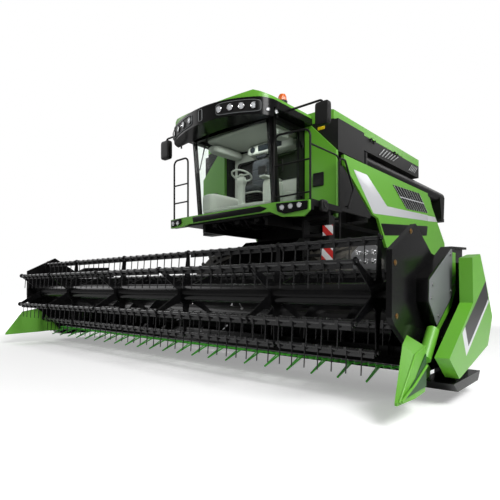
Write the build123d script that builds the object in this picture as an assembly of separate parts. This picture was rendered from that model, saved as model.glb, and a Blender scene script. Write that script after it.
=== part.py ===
from build123d import *
import os
from math import cos, hypot, pi, radians, sin

# Combine harvester with its grain header, in millimetres.
# +Y is the machine's rear, +X its left side, +Z up; the ground is Z = 0.
# The origin is on the ground, under the middle of the whole outline.

# Running clearances
PLAY = 0.5            # pins, shafts and bearings
MOVE_GAP = 12.0       # between pieces that move past each other

# Wheels and axles
WHEELBASE = 3800.0
FRONT_AXLE_Y = -650.0
REAR_AXLE_Y = FRONT_AXLE_Y + WHEELBASE
FRONT_TYRE_R = 930.0
FRONT_TYRE_W = 780.0
FRONT_RIM_R = 420.0
FRONT_WHEEL_X = 1270.0
REAR_TYRE_R = 660.0
REAR_TYRE_W = 480.0
REAR_RIM_R = 315.0
REAR_WHEEL_X = 1250.0
FRONT_LUGS = 22
REAR_LUGS = 20
LUG_H = 45.0
LUG_SHARE = 0.30      # tread width of a lug, as a share of the lug pitch
HUB_PIN_R = 60.0
STUB_R = 45.0
KINGPIN_X = 880.0
KINGPIN_R = 30.0
STEER_ARM = 230.0
AXLE_BEAM_H = 160.0
HITCH_REACH = 490.0    # hitch bore behind the rear axle
HITCH_Y = REAR_AXLE_Y + HITCH_REACH
HITCH_T = 40.0
HITCH_BORE_R = 16.0

# Chassis and separator
RAIL_X = 460.0        # middle of each rail
RAIL_W = 120.0
RAIL_H = 120.0
HOUSING_HALF = 790.0
HOUSING_FRONT_Y = -580.0
HOUSING_TOP = 2180.0
HOUSING_TO_AXLE = 510.0    # housing's rear face ahead of the rear axle
HOUSING_REAR_Y = REAR_AXLE_Y - HOUSING_TO_AXLE

# Body shell
BODY_HALF = 1500.0
SHELL_T = 50.0
BODY_FRONT_Y = -1340.0
BELT_Z = 3150.0       # top edge of the side panels
PANEL_LOW_Z = 1790.0
PANEL_REAR_Y = HOUSING_REAR_Y
PANEL_HINGES_Y = (BODY_FRONT_Y + 440.0, PANEL_REAR_Y - 80.0)
TAIL_REACH = 750.0    # hood's tail behind the rear axle
TAIL_Y = REAR_AXLE_Y + TAIL_REACH
CHOPPER_Y = TAIL_Y + 400.0

# Grain tank, lids, engine deck
TANK_INSET = 80.0     # tank's side within the side panels
TANK_HALF = BODY_HALF - TANK_INSET
TANK_LOW_Z = HOUSING_TOP
TANK_H = 1510.0
TANK_TOP_Z = TANK_LOW_Z + TANK_H
TANK_WALL = 60.0
DECK_SETBACK = 340.0   # deck's rear ahead of the housing's rear face
DECK_LENGTH = 920.0
DECK_REAR_Y = HOUSING_REAR_Y - DECK_SETBACK
TANK_REAR_Y = DECK_REAR_Y - DECK_LENGTH
LID_H = 190.0
LID_CHAMFER = 45.0
LID_GAP = 14.0
LID_HINGES_Y = (BODY_FRONT_Y + 340.0, (BODY_FRONT_Y + TANK_REAR_Y) / 2, TANK_REAR_Y - 340.0)

# Unloading auger
SPOUT_TUBE_R = 130.0
SPOUT_INSET = 150.0   # spout's middle within the tank's side
SPOUT_X = TANK_HALF - SPOUT_INSET
SPOUT_Z = BELT_Z + 140.0
SPOUT_PIVOT_Y = -200.0
SPOUT_END_Y = TAIL_Y + 200.0
SPOUT_DROP = 610.0

# Cab
CAB_HALF = 860.0
CAB_FRONT_Y = -2130.0   # foot of the windscreen pillars
CAB_REAR_Y = BODY_FRONT_Y + 180.0
CORNER_Y = BODY_FRONT_Y - 60.0    # front of the green corner panels
PLATFORM_T = 90.0
CAB_FLOOR_Z = HOUSING_TOP + PLATFORM_T
CAB_H = 1370.0
CAB_TOP_Z = CAB_FLOOR_Z + CAB_H
CAB_RAKE = 130.0        # the pillars' heads ahead of their feet
GLASS_BULGE = 80.0
GLASS_T = 8.0
PILLAR = 60.0
DOOR_REAR_Y = CORNER_Y - 80.0
ROOF_HALF = 1070.0
ROOF_NOSE_Y = CAB_FRONT_Y - 670.0       # visor, in the middle
ROOF_CORNER_Y = ROOF_NOSE_Y + 200.0     # visor, at its front corners
ROOF_SIDE_Y = ROOF_NOSE_Y + 500.0       # where its sides start
VISOR_LIP = 80.0        # visor's lower edge below the cab's top
VISOR_H = 250.0
VISOR_LOW_Z = CAB_TOP_Z - VISOR_LIP
VISOR_TOP_Z = VISOR_LOW_Z + VISOR_H
VISOR_CROWN = 70.0      # drop of both edges at the corners
ROOF_RISE = 220.0
ROOF_TOP_Z = VISOR_TOP_Z + ROOF_RISE
PLATFORM_FRONT_Y = CAB_FRONT_Y - 130.0
PLATFORM_HALF = BODY_HALF + 100.0
PLATFORM_RIGHT = BODY_HALF - 100.0
FASCIA_T = 45.0
LAMP_R = 56.0
SEAT_GAP = 0.3         # between curved pieces that rest on each other
LADDER_W = 470.0
LADDER_PIVOT_X = PLATFORM_HALF - 55.0
RAIL_TUBE_R = 16.0
BAR_R = 13.0
RAIL_X_OUT = PLATFORM_HALF - 23.0

# Header
WALL_IN = 3450.0      # inner face of the end walls
WALL_T = 50.0
KNIFE_Y = -3300.0
KNIFE_Z = 287.0
TROUGH_T = 20.0
FLOOR_Z = 262.0
AUGER_Y = -2730.0
AUGER_R = 300.0
AUGER_CORE_R = 190.0
AUGER_GAP = 22.0
FLIGHT_PITCH = 560.0
FLIGHT_TURNS = 4
FLIGHT_STEPS = 16
FLIGHT_START_X = 980.0
BACK_TOP_Z = 1250.0
MOUTH_HALF = 700.0
FINGER_PITCH = 76.2
FINGER_REACH = 100.0
LIFTER_PITCH = 304.8
LIFTER_COUNT = 23
LIFTER_REACH = 300.0
LIFTER_TIP_Z = 150.0

# Reel
REEL_Y = -3746.0
REEL_Z = 968.0
REEL_R = 503.0
REEL_TUBE_R = 110.0
SPIDERS_X = (717.5, 2150.0, 3270.0)
BAT_COUNT = 6
BAT_PHASE = 86.6
BAT_TUBE_R = 20.0
TINE_PITCH = 152.4
TINE_DROP = 220.0
SPIDER_T = 12.0
ARM_IN = 3393.0
ARM_W = 40.0
ARM_PIVOT_Y = -2325.0
ARM_PIVOT_Z = 1340.0
REEL_SLIDE = 200.0      # fore-and-aft travel

# Feeder house and lift
FEEDER_HALF = 620.0
FEEDER_PIVOT_Y = -850.0
FEEDER_PIVOT_Z = 1650.0
FEEDER_HEAD_R = 240.0
LIFT_X = 430.0
LIFT_BASE = (-800.0, 700.0)
LIFT_EYE = (-1900.0, 600.0)
BARREL_R = 55.0
ROD_R = 30.0
BARREL_LENGTH = 640.0


def block(x, y, z):
    """Box from low and high values on each axis."""
    size = (x[1] - x[0], y[1] - y[0], z[1] - z[0])
    return Pos((x[0] + x[1]) / 2, (y[0] + y[1]) / 2, (z[0] + z[1]) / 2) * Box(*size)


def side_plate(outline, x0, x1):
    """Outline of (y, z) points, extruded from x0 to x1."""
    return extrude(Plane.YZ.offset(x0) * make_face(Polyline(*outline, close=True)), amount=x1 - x0)


def cross_plate(outline, y0, y1):
    """Outline of (x, z) points, extruded from y0 to y1."""
    plane = Plane(origin=(0, y0, 0), x_dir=(1, 0, 0), z_dir=(0, -1, 0))
    return extrude(plane * make_face(Polyline(*outline, close=True)), amount=y0 - y1)


def floor_plate(outline, z0, z1):
    """Outline of (x, y) points, extruded from z0 to z1."""
    return extrude(Plane.XY.offset(z0) * make_face(Polyline(*outline, close=True)), amount=z1 - z0)


def rod(start, end, radius):
    """Round bar from one point to another."""
    direction = Vector(*end) - Vector(*start)
    plane = Plane(origin=start, z_dir=direction)
    return plane * Cylinder(radius, direction.length, align=(Align.CENTER, Align.CENTER, Align.MIN))


def across(y, z, radius, x0, x1):
    """Round bar along X."""
    return rod((x0, y, z), (x1, y, z), radius)


def bent_tube(points, radius, bend):
    """Round tube along straight runs joined by arcs."""
    path = FilletPolyline(*points, radius=bend)
    return sweep(Plane(origin=path @ 0, z_dir=path % 0) * Circle(radius), path=path)


def link(a, b, height, x0, x1):
    """Flat bar between two (y, z) points, with its width upright, from x0 to x1."""
    length = hypot(b[0] - a[0], b[1] - a[1])
    ny, nz = (a[1] - b[1]) / length * height / 2, (b[0] - a[0]) / length * height / 2
    outline = [(a[0] + ny, a[1] + nz), (b[0] + ny, b[1] + nz),
               (b[0] - ny, b[1] - nz), (a[0] - ny, a[1] - nz)]
    return side_plate(outline, x0, x1)


def tapered(a, b, width_a, width_b, x0, x1):
    """Flat bar between two (y, z) points whose width changes along it, from x0 to x1."""
    length = hypot(b[0] - a[0], b[1] - a[1])
    ny, nz = (a[1] - b[1]) / length / 2, (b[0] - a[0]) / length / 2
    outline = [(a[0] + ny * width_a, a[1] + nz * width_a), (b[0] + ny * width_b, b[1] + nz * width_b),
               (b[0] - ny * width_b, b[1] - nz * width_b), (a[0] - ny * width_a, a[1] - nz * width_a)]
    return side_plate(outline, x0, x1)


def mirrored(shape):
    return mirror(shape, about=Plane.YZ)


def both(shape):
    """The shape and its mirror image on the other side, in one node."""
    return Compound(children=solids_of(shape) + solids_of(mirrored(shape)))


def solids_of(*shapes):
    return [solid for shape in shapes for solid in shape.solids()]


def save(name, *shapes):
    solids = solids_of(*shapes)
    node = solids[0] if len(solids) == 1 else Compound(children=solids)
    export_step(node, f"parts/{name}.step")


# Wheels

def tyre(x, y, radius, width, rim_r, lugs, hand):
    """Tyre with chevron lugs, its axle along X; hand is 1 on the left and -1 on the right."""
    half = width / 2
    carcass_r = radius - LUG_H
    # columns: distance from the middle, radius
    profile = [(-half * 0.80, rim_r), (-half, (rim_r + carcass_r) / 2), (-half * 0.90, carcass_r - 40),
               (-half * 0.62, carcass_r), (half * 0.62, carcass_r), (half * 0.90, carcass_r - 40),
               (half, (rim_r + carcass_r) / 2), (half * 0.80, rim_r)]
    body = revolve(Plane.XY * make_face(Polyline(*profile, close=True)), axis=Axis.X)
    pitch = 360 / lugs
    # columns: share of the half width, turn in pitches, foot radius, top radius
    stations = [(0.02, 0.00, carcass_r - 20, radius), (0.55, 0.45, carcass_r - 20, radius),
                (0.92, 0.95, carcass_r - LUG_H * 2.4, radius - LUG_H / 2)]
    pieces = []
    for i in range(lugs):
        for side, shift in ((hand, 0.0), (-hand, 0.5)):
            sections = []
            for share, turn, foot, top in stations:
                a0 = radians((i + shift + turn) * pitch)
                a1 = a0 + radians(LUG_SHARE * pitch)
                corners = ((foot, a0), (top, a0), (top, a1), (foot, a1))
                points = [(side * half * share, r * sin(a), r * cos(a)) for r, a in corners]
                sections.append(make_face(Polyline(*points, close=True)))
            pieces.append(loft(sections, ruled=True))
    return Pos(x, y, radius) * (body + pieces)


def rim(x, y, radius, width, rim_r, disc_x, bore_r):
    """Steel rim with a dished disc, bolt ring and bore, its axle along X."""
    half = width / 2 * 0.80
    # columns: distance from the middle, radius
    profile = [(-half, rim_r), (half, rim_r), (half, rim_r - 25), (half * 0.75, rim_r - 60),
               (disc_x + 40, rim_r - 60), (disc_x + 20, rim_r * 0.50), (disc_x + 20, bore_r),
                (disc_x - 10, bore_r), (disc_x - 10, rim_r * 0.52),
               (disc_x + 10, rim_r - 75), (-half * 0.75, rim_r - 75), (-half, rim_r - 40)]
    body = revolve(Plane.XY * make_face(Polyline(*profile, close=True)), axis=Axis.X)
    return Pos(x, y, radius) * body


front_disc_x = -60.0
rear_disc_x = -40.0
tyres = {}
for hand, label in ((1, "left"), (-1, "right")):
    tyres["front_tyre_" + label] = tyre(hand * FRONT_WHEEL_X, FRONT_AXLE_Y, FRONT_TYRE_R, FRONT_TYRE_W,
                                        FRONT_RIM_R, FRONT_LUGS, hand)
    tyres["rear_tyre_" + label] = tyre(hand * REAR_WHEEL_X, REAR_AXLE_Y, REAR_TYRE_R, REAR_TYRE_W,
                                       REAR_RIM_R, REAR_LUGS, hand)
front_rim = rim(FRONT_WHEEL_X, FRONT_AXLE_Y, FRONT_TYRE_R, FRONT_TYRE_W,
                FRONT_RIM_R, front_disc_x, HUB_PIN_R + PLAY)
rear_rim = rim(REAR_WHEEL_X, REAR_AXLE_Y, REAR_TYRE_R, REAR_TYRE_W,
               REAR_RIM_R, rear_disc_x, STUB_R + PLAY)

# Front axle: beam, final drives and hub pins
axle_z = FRONT_TYRE_R
drive_in = FRONT_WHEEL_X - FRONT_TYRE_W / 2 * 0.8
drive_out = FRONT_WHEEL_X + front_disc_x - 10 - MOVE_GAP
axle_y = (FRONT_AXLE_Y - AXLE_BEAM_H / 2, FRONT_AXLE_Y + AXLE_BEAM_H / 2)
front_axle = block((-drive_in, drive_in), axle_y, (axle_z - 80, axle_z + 80))
for side in (1, -1):
    front_axle += across(FRONT_AXLE_Y, axle_z, 210, side * (drive_in - 80), side * drive_out)
    front_axle += across(FRONT_AXLE_Y, axle_z, HUB_PIN_R, side * drive_out, side * (FRONT_WHEEL_X + 40))
    front_axle += link((FRONT_AXLE_Y, axle_z), LIFT_BASE, 90, side * (LIFT_X - 90), side * (LIFT_X - 62))
    front_axle += link((FRONT_AXLE_Y, axle_z), LIFT_BASE, 90, side * (LIFT_X + 62), side * (LIFT_X + 90))
    front_axle += across(LIFT_BASE[0], LIFT_BASE[1], 22, side * (LIFT_X - 90), side * (LIFT_X + 90))

# Chassis rails on the front axle, with cross members
rail_low = axle_z + 80
rail_top = rail_low + RAIL_H
rail_y = (FRONT_AXLE_Y - 60, REAR_AXLE_Y + 200)
chassis = block((RAIL_X - RAIL_W / 2, RAIL_X + RAIL_W / 2), rail_y, (rail_low, rail_top))
chassis += mirrored(chassis)
for y in (HOUSING_FRONT_Y + 100, 1200.0, REAR_AXLE_Y - 150, REAR_AXLE_Y + 100):
    chassis += block((-RAIL_X, RAIL_X), (y, y + 80), (rail_low, rail_top))

# Rear hitch plate, for the trolley that carries the header on the road
hitch_z = (rail_low, rail_low + HITCH_T)
chassis += block((-90, 90), (REAR_AXLE_Y + 170, HITCH_Y + 60), hitch_z)
chassis -= rod((0, HITCH_Y, hitch_z[0] - 1), (0, HITCH_Y, hitch_z[1] + 1), HITCH_BORE_R)

# Rear axle: beam on a centre pivot bracket, with kingpin sleeves
beam_z = REAR_TYRE_R
sleeve_h = 180.0
rear_y = (REAR_AXLE_Y - 70, REAR_AXLE_Y + 70)
rear_axle = block((-KINGPIN_X, KINGPIN_X), rear_y, (beam_z - 70, beam_z + 70))
rear_axle += block((-RAIL_X - 60, RAIL_X + 60), rear_y, (beam_z + 60, rail_low))
rear_axle -= block((-RAIL_X + 120, RAIL_X - 120), (rear_y[0] - 1, rear_y[1] + 1),
                   (beam_z + 140, rail_low - 70))
for side in (1, -1):
    rear_axle += rod((side * KINGPIN_X, REAR_AXLE_Y, beam_z - sleeve_h / 2),
                     (side * KINGPIN_X, REAR_AXLE_Y, beam_z + sleeve_h / 2), 62)
for side in (1, -1):
    rear_axle -= rod((side * KINGPIN_X, REAR_AXLE_Y, beam_z - sleeve_h),
                     (side * KINGPIN_X, REAR_AXLE_Y, beam_z + sleeve_h), KINGPIN_R + PLAY)

# Steering knuckle: fork round the sleeve, kingpin, stub axle and steering arm
fork_gap = sleeve_h / 2 + 6
fork_t = 30.0
stub_start = KINGPIN_X + 75
pin_z = beam_z - fork_gap - fork_t
pin_top = beam_z + fork_gap + fork_t
knuckle = rod((KINGPIN_X, REAR_AXLE_Y, pin_z), (KINGPIN_X, REAR_AXLE_Y, pin_top), KINGPIN_R)
for z0 in (beam_z - fork_gap - fork_t, beam_z + fork_gap):
    knuckle += block((KINGPIN_X - 60, stub_start + 25), (REAR_AXLE_Y - 60, REAR_AXLE_Y + 60),
                     (z0, z0 + fork_t))
knuckle += block((stub_start, stub_start + 25), (REAR_AXLE_Y - 60, REAR_AXLE_Y + 60),
                 (beam_z - fork_gap - fork_t, beam_z + fork_gap + fork_t))
knuckle += across(REAR_AXLE_Y, beam_z, STUB_R, stub_start + 20, REAR_WHEEL_X + 30)
knuckle += across(REAR_AXLE_Y, beam_z, STUB_R + 30, stub_start + 20,
                  REAR_WHEEL_X + rear_disc_x - 10 - MOVE_GAP / 2)
arm_z = beam_z - fork_gap - fork_t
knuckle += block((KINGPIN_X - 30, KINGPIN_X + 30), (REAR_AXLE_Y, REAR_AXLE_Y + STEER_ARM + 30),
                 (arm_z, arm_z + fork_t))
tie_y = REAR_AXLE_Y + STEER_ARM
knuckle += rod((KINGPIN_X, tie_y, arm_z - 50), (KINGPIN_X, tie_y, arm_z), 14)

# Tie rod between the steering arms
tie_z = arm_z - 32
tie_rod = across(tie_y, tie_z, 15, -KINGPIN_X + 28, KINGPIN_X - 28)
for side in (1, -1):
    tie_rod += rod((side * KINGPIN_X, tie_y, tie_z - 18), (side * KINGPIN_X, tie_y, tie_z + 18), 34)
for side in (1, -1):
    tie_rod -= rod((side * KINGPIN_X, tie_y, tie_z - 40), (side * KINGPIN_X, tie_y, tie_z + 40), 14 + PLAY)

# Separator housing, engine, straw hood, chopper
housing_outline = [(HOUSING_FRONT_Y, rail_top), (HOUSING_FRONT_Y, HOUSING_TOP), (HOUSING_REAR_Y, HOUSING_TOP),
                   (HOUSING_REAR_Y, 1420.0), (HOUSING_REAR_Y - 940, 1300.0),
                   (HOUSING_REAR_Y - 1140, rail_top)]
separator_housing = side_plate(housing_outline, -HOUSING_HALF, HOUSING_HALF)
engine_block = block((-450, 450), (TANK_REAR_Y + 150, TANK_REAR_Y + 1150), (HOUSING_TOP, HOUSING_TOP + 900))
tail_outline = [(PANEL_REAR_Y + MOVE_GAP, BELT_Z - 10), (PANEL_REAR_Y + 220, BELT_Z - 70),
                (PANEL_REAR_Y + 360, 2900), (TAIL_Y, 2130), (TAIL_Y + 40, PANEL_LOW_Z),
                (PANEL_REAR_Y + MOVE_GAP, PANEL_LOW_Z)]
straw_hood = side_plate(tail_outline, -BODY_HALF + 30, BODY_HALF - 30)
chopper_outline = [(HOUSING_REAR_Y, 1430), (HOUSING_REAR_Y, PANEL_LOW_Z), (CHOPPER_Y - 60, PANEL_LOW_Z),
                   (CHOPPER_Y, 1560), (CHOPPER_Y - 160, 1400), (HOUSING_REAR_Y + 360, 1400)]
straw_chopper = side_plate(chopper_outline, -HOUSING_HALF, HOUSING_HALF)
rear_posts = block((RAIL_X - 60, RAIL_X + 60), (REAR_AXLE_Y + 40, REAR_AXLE_Y + 160), (rail_top, 1400))
chassis += rear_posts + mirrored(rear_posts)

# Side panels, hinged along the belt line, with the wheel arch
arch_top = (90.0, 2290.0)
panel_outline = [(-1160, BELT_Z), (-1130, 2985), (-130, 2330), arch_top, (450, PANEL_LOW_Z),
                 (PANEL_REAR_Y, PANEL_LOW_Z), (PANEL_REAR_Y, BELT_Z)]
side_panel = side_plate(panel_outline, BODY_HALF - SHELL_T, BODY_HALF)
panel_pivot_x, panel_pivot_z = BODY_HALF - 22, BELT_Z - 28
panel_arms = []
for y in PANEL_HINGES_Y:
    side_panel -= block((BODY_HALF - SHELL_T - 1, BODY_HALF - 6), (y - 22, y + 22), (BELT_Z - 52, BELT_Z + 1))
    side_panel += rod((panel_pivot_x, y - 24, panel_pivot_z), (panel_pivot_x, y + 24, panel_pivot_z), 6)
    arm = block((BODY_HALF - 100, panel_pivot_x), (y - 12, y + 12), (panel_pivot_z - 20, panel_pivot_z - 2))
    arm += rod((panel_pivot_x, y - 12, panel_pivot_z), (panel_pivot_x, y + 12, panel_pivot_z), 14)
    arm -= rod((panel_pivot_x, y - 13, panel_pivot_z), (panel_pivot_x, y + 13, panel_pivot_z), 6 + PLAY)
    panel_arms.append(arm)
front_arm, rear_arm = panel_arms
front_arm += block((BODY_HALF - 100, BODY_HALF - 65), (PANEL_HINGES_Y[0] - 12, PANEL_HINGES_Y[0] + 12),
                   (panel_pivot_z - 20, BELT_Z + 16))
rear_arm += block((BODY_HALF - 100, BODY_HALF - 70), (PANEL_HINGES_Y[1] - 12, PANEL_REAR_Y + MOVE_GAP + 1),
                  (panel_pivot_z - 60, panel_pivot_z - 2))
straw_hood += rear_arm
straw_hood += mirrored(rear_arm)

# Fixed arch panels below and ahead of the side panels
arch_outline = [(BODY_FRONT_Y, 2250), (BODY_FRONT_Y, 2960), (-1165, 2960), (-180, 2318), (-210, 2250)]
arch_panels = both(side_plate(arch_outline, BODY_HALF - SHELL_T, BODY_HALF - 10))

# Corner panels behind the cab
corner_low = HOUSING_TOP - 50
corner_outline = [(CAB_HALF + 60, corner_low), (BODY_HALF, corner_low), (BODY_HALF, BELT_Z + 20),
                  (CAB_HALF + 60, TANK_TOP_Z + 80)]
corner_panels = both(cross_plate(corner_outline, CORNER_Y, BODY_FRONT_Y))

# Grain tank: open box over a hopper, with a cover over the auger elbow on the left
tank_left = SPOUT_X - SPOUT_TUBE_R - MOVE_GAP - 50
deck_low = SPOUT_Z + SPOUT_TUBE_R + MOVE_GAP + 6
grain_tank = block((-TANK_HALF, tank_left), (BODY_FRONT_Y, TANK_REAR_Y), (TANK_LOW_Z, TANK_TOP_Z))
grain_tank += block((tank_left - 5, TANK_HALF), (BODY_FRONT_Y, TANK_REAR_Y), (deck_low, TANK_TOP_Z))
cheek_y = (BODY_FRONT_Y, SPOUT_PIVOT_Y - 260)
grain_tank += block((tank_left - 5, BODY_HALF), cheek_y, (BELT_Z + 15, TANK_TOP_Z - 12))
grain_tank += block((-BODY_HALF, -TANK_HALF + 5), cheek_y, (BELT_Z + 15, TANK_TOP_Z - 60))
grain_tank -= block((-CAB_HALF - 60, CAB_HALF + 60), (BODY_FRONT_Y - 1, CAB_REAR_Y + MOVE_GAP),
                    (TANK_LOW_Z - 1, CAB_TOP_Z + 60))
grain_tank -= block((-TANK_HALF + TANK_WALL, tank_left - TANK_WALL),
                    (CAB_REAR_Y + MOVE_GAP + TANK_WALL, TANK_REAR_Y - TANK_WALL),
                    (TANK_LOW_Z + 200, TANK_TOP_Z + 1))

grain_tank += front_arm
grain_tank += mirrored(front_arm)

# Tank lids, hinged along their outer edges
lid_edge_z = TANK_TOP_Z + LID_H - LID_CHAMFER
lid_outline = [(LID_GAP / 2, TANK_TOP_Z + 8), (TANK_HALF, TANK_TOP_Z + 8), (TANK_HALF, lid_edge_z),
               (TANK_HALF - 170, TANK_TOP_Z + LID_H), (LID_GAP / 2, TANK_TOP_Z + LID_H)]
tank_lid = cross_plate(lid_outline, BODY_FRONT_Y, TANK_REAR_Y)
pivot_x, pivot_z = TANK_HALF + 16, TANK_TOP_Z + 4
tank_hinges = []
for y in LID_HINGES_Y:
    tank_lid += rod((pivot_x, y - 40, pivot_z), (pivot_x, y + 40, pivot_z), 14)
    tank_lid += block((TANK_HALF - 1, pivot_x), (y - 40, y + 40), (pivot_z + 5, pivot_z + 28))
    tank_lid -= rod((pivot_x, y - 50, pivot_z), (pivot_x, y + 50, pivot_z), 7 + PLAY)
    pin = rod((pivot_x, y - 90, pivot_z), (pivot_x, y + 90, pivot_z), 7)
    for y0 in (y - 90, y + 42):
        pin += rod((pivot_x, y0, pivot_z), (pivot_x, y0 + 48, pivot_z), 14)
        pin += block((TANK_HALF - 1, pivot_x), (y0, y0 + 48), (pivot_z - 44, pivot_z))
    tank_hinges += [pin, mirrored(pin)]
grain_tank += tank_hinges

# Engine deck behind the tank: vented box on posts, with its hood
engine_deck = block((-TANK_HALF, TANK_HALF), (TANK_REAR_Y, DECK_REAR_Y), (deck_low, TANK_TOP_Z))
post = block((tank_left - 90, tank_left), (DECK_REAR_Y - 90, DECK_REAR_Y), (HOUSING_TOP, deck_low))
post += block((HOUSING_HALF - 20, tank_left), (DECK_REAR_Y - 90, DECK_REAR_Y),
              (HOUSING_TOP - 60, HOUSING_TOP + 40))
post -= block((0, HOUSING_HALF), (DECK_REAR_Y - 91, DECK_REAR_Y + 1), (HOUSING_TOP - 61, HOUSING_TOP))
engine_deck += post + mirrored(post)
hood_outline = [(-TANK_HALF, TANK_TOP_Z), (TANK_HALF, TANK_TOP_Z), (TANK_HALF, lid_edge_z),
                (TANK_HALF - 170, TANK_TOP_Z + LID_H), (-TANK_HALF + 170, TANK_TOP_Z + LID_H),
                (-TANK_HALF, lid_edge_z)]
engine_hood = cross_plate(hood_outline, TANK_REAR_Y + MOVE_GAP, DECK_REAR_Y)

# Unloading auger: elbow, tube and spout
elbow_low = BELT_Z - 350
elbow_r = SPOUT_TUBE_R + 14
elbow_top = SPOUT_Z + SPOUT_TUBE_R + 4
unloading_auger = rod((SPOUT_X, SPOUT_PIVOT_Y, elbow_low), (SPOUT_X, SPOUT_PIVOT_Y, elbow_top), elbow_r)
unloading_auger += rod((SPOUT_X, SPOUT_PIVOT_Y, SPOUT_Z), (SPOUT_X, SPOUT_END_Y, SPOUT_Z), SPOUT_TUBE_R)
spout_outline = [(SPOUT_END_Y - 340, SPOUT_Z), (SPOUT_END_Y + 20, SPOUT_Z),
                 (SPOUT_END_Y - 40, SPOUT_Z - SPOUT_DROP), (SPOUT_END_Y - 190, SPOUT_Z - SPOUT_DROP)]
unloading_auger += side_plate(spout_outline, SPOUT_X - SPOUT_TUBE_R - 3, SPOUT_X + SPOUT_TUBE_R + 3)
turret_low = TANK_LOW_Z + 20
turret = rod((SPOUT_X, SPOUT_PIVOT_Y, turret_low), (SPOUT_X, SPOUT_PIVOT_Y, elbow_low - PLAY),
             SPOUT_TUBE_R + 25)
turret += block((tank_left - 3, SPOUT_X), (SPOUT_PIVOT_Y - 120, SPOUT_PIVOT_Y + 120),
                (turret_low, elbow_low - 60))
grain_tank += turret

# Platform with its beams back to the housing
beam_x = 610.0
platform = block((-PLATFORM_RIGHT, PLATFORM_HALF), (PLATFORM_FRONT_Y, CORNER_Y),
                 (CAB_FLOOR_Z - PLATFORM_T, CAB_FLOOR_Z))
platform_low = CAB_FLOOR_Z - PLATFORM_T
platform += block((-CAB_HALF, CAB_HALF), (CORNER_Y - 1, CAB_REAR_Y), (platform_low, CAB_FLOOR_Z))
platform += block((-PLATFORM_RIGHT, PLATFORM_HALF), (PLATFORM_FRONT_Y, PLATFORM_FRONT_Y + 80),
                  (CAB_FLOOR_Z - 150, CAB_FLOOR_Z))
for side in (1, -1):
    beam_in, beam_out, wall = side * (beam_x + 60), side * (HOUSING_HALF - 60), side * (BODY_HALF - SHELL_T)
    platform += block(sorted((beam_in, beam_out)), (CAB_FRONT_Y, HOUSING_FRONT_Y),
                      (platform_low - 180, platform_low))
    platform += block(sorted((beam_in, wall)), (CORNER_Y - 60, BODY_FRONT_Y + 120),
                      (platform_low - 120, platform_low - 50))
    platform += block(sorted((beam_out, wall)), (CORNER_Y - 60, CORNER_Y),
                      (platform_low - 120, platform_low))

# Fascia across the platform's front, deeper round the head lamps
fascia_left = [(-600, 15), (0, -20), (0, -160), (-100, -240), (-470, -210), (-700, -110)]
fascia_right = [(500, -122), (320, -158), (0, -158), (0, -2), (340, 8)]
fascia_outline = [(PLATFORM_HALF + x, CAB_FLOOR_Z + z) for x, z in fascia_left]
fascia_outline += [(-PLATFORM_RIGHT + x, CAB_FLOOR_Z + z) for x, z in fascia_right]
fascia_y = (PLATFORM_FRONT_Y - FASCIA_T, PLATFORM_FRONT_Y)
platform_fascia = cross_plate(fascia_outline, *fascia_y)

# Cab shell: floor, rear wall with two windows, corner pillars, top frame and right side frame
shell_low = CAB_FLOOR_Z + 40
cab_head_y = CAB_FRONT_Y - CAB_RAKE
cab_shell = block((-CAB_HALF, CAB_HALF), (CAB_FRONT_Y - 10, CAB_REAR_Y), (CAB_FLOOR_Z, shell_low))
cab_shell += block((-CAB_HALF, CAB_HALF), (CAB_REAR_Y - 50, CAB_REAR_Y), (shell_low, CAB_TOP_Z))
for x0, x1 in ((-CAB_HALF + 120, -90), (90, CAB_HALF - 120)):
    cab_shell -= block((x0, x1), (CAB_REAR_Y - 60, CAB_REAR_Y + 10),
                       (CAB_FLOOR_Z + 630, CAB_TOP_Z - 240))
pillar_outline = [(CAB_FRONT_Y, shell_low), (cab_head_y, CAB_TOP_Z), (cab_head_y + PILLAR, CAB_TOP_Z),
                  (CAB_FRONT_Y + PILLAR, shell_low)]
for side in (1, -1):
    cab_shell += side_plate(pillar_outline, side * (CAB_HALF - PILLAR), side * CAB_HALF)
cab_shell += block((-CAB_HALF, CAB_HALF), (cab_head_y, CAB_REAR_Y), (CAB_TOP_Z - 70, CAB_TOP_Z))
cab_shell -= block((-CAB_HALF + 70, CAB_HALF - 70), (cab_head_y + 70, CAB_REAR_Y - 50),
                   (CAB_TOP_Z - 71, CAB_TOP_Z - 20))
cab_shell += block((CAB_HALF - PILLAR, CAB_HALF + 44), (DOOR_REAR_Y + 8, CORNER_Y - MOVE_GAP),
                   (shell_low, CAB_TOP_Z))
cab_shell += block((CAB_HALF - 40, CAB_HALF), (CORNER_Y - MOVE_GAP - 1, CAB_REAR_Y), (shell_low, CAB_TOP_Z))

# Glass: bowed windscreen ahead of the pillars, right side pane


def bowed(y_foot, y_head, bulge, half):
    """Leaning solid behind an arc that bulges forward by bulge, from the shell's floor to its top."""
    faces = []
    for y, z in ((y_foot, shell_low), (y_head, CAB_TOP_Z)):
        arc = ThreePointArc((-half, y), (0, y - bulge), (half, y))
        faces.append(Plane.XY.offset(z) * make_face([arc, Line((half, y), (-half, y))]))
    return loft(faces, ruled=True)


screen_half = CAB_HALF - MOVE_GAP
windscreen = bowed(CAB_FRONT_Y - 10, cab_head_y - 10, GLASS_BULGE, screen_half)
windscreen -= bowed(CAB_FRONT_Y - 10, cab_head_y - 10, GLASS_BULGE - GLASS_T, screen_half - GLASS_T)
side_outline = [(CAB_FRONT_Y + PILLAR, shell_low), (cab_head_y + PILLAR + 8, CAB_TOP_Z - 70),
                (CAB_REAR_Y - 50, CAB_TOP_Z - 70), (CAB_REAR_Y - 50, shell_low)]
side_glass = side_plate(side_outline, -CAB_HALF, -CAB_HALF + GLASS_T)

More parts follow.
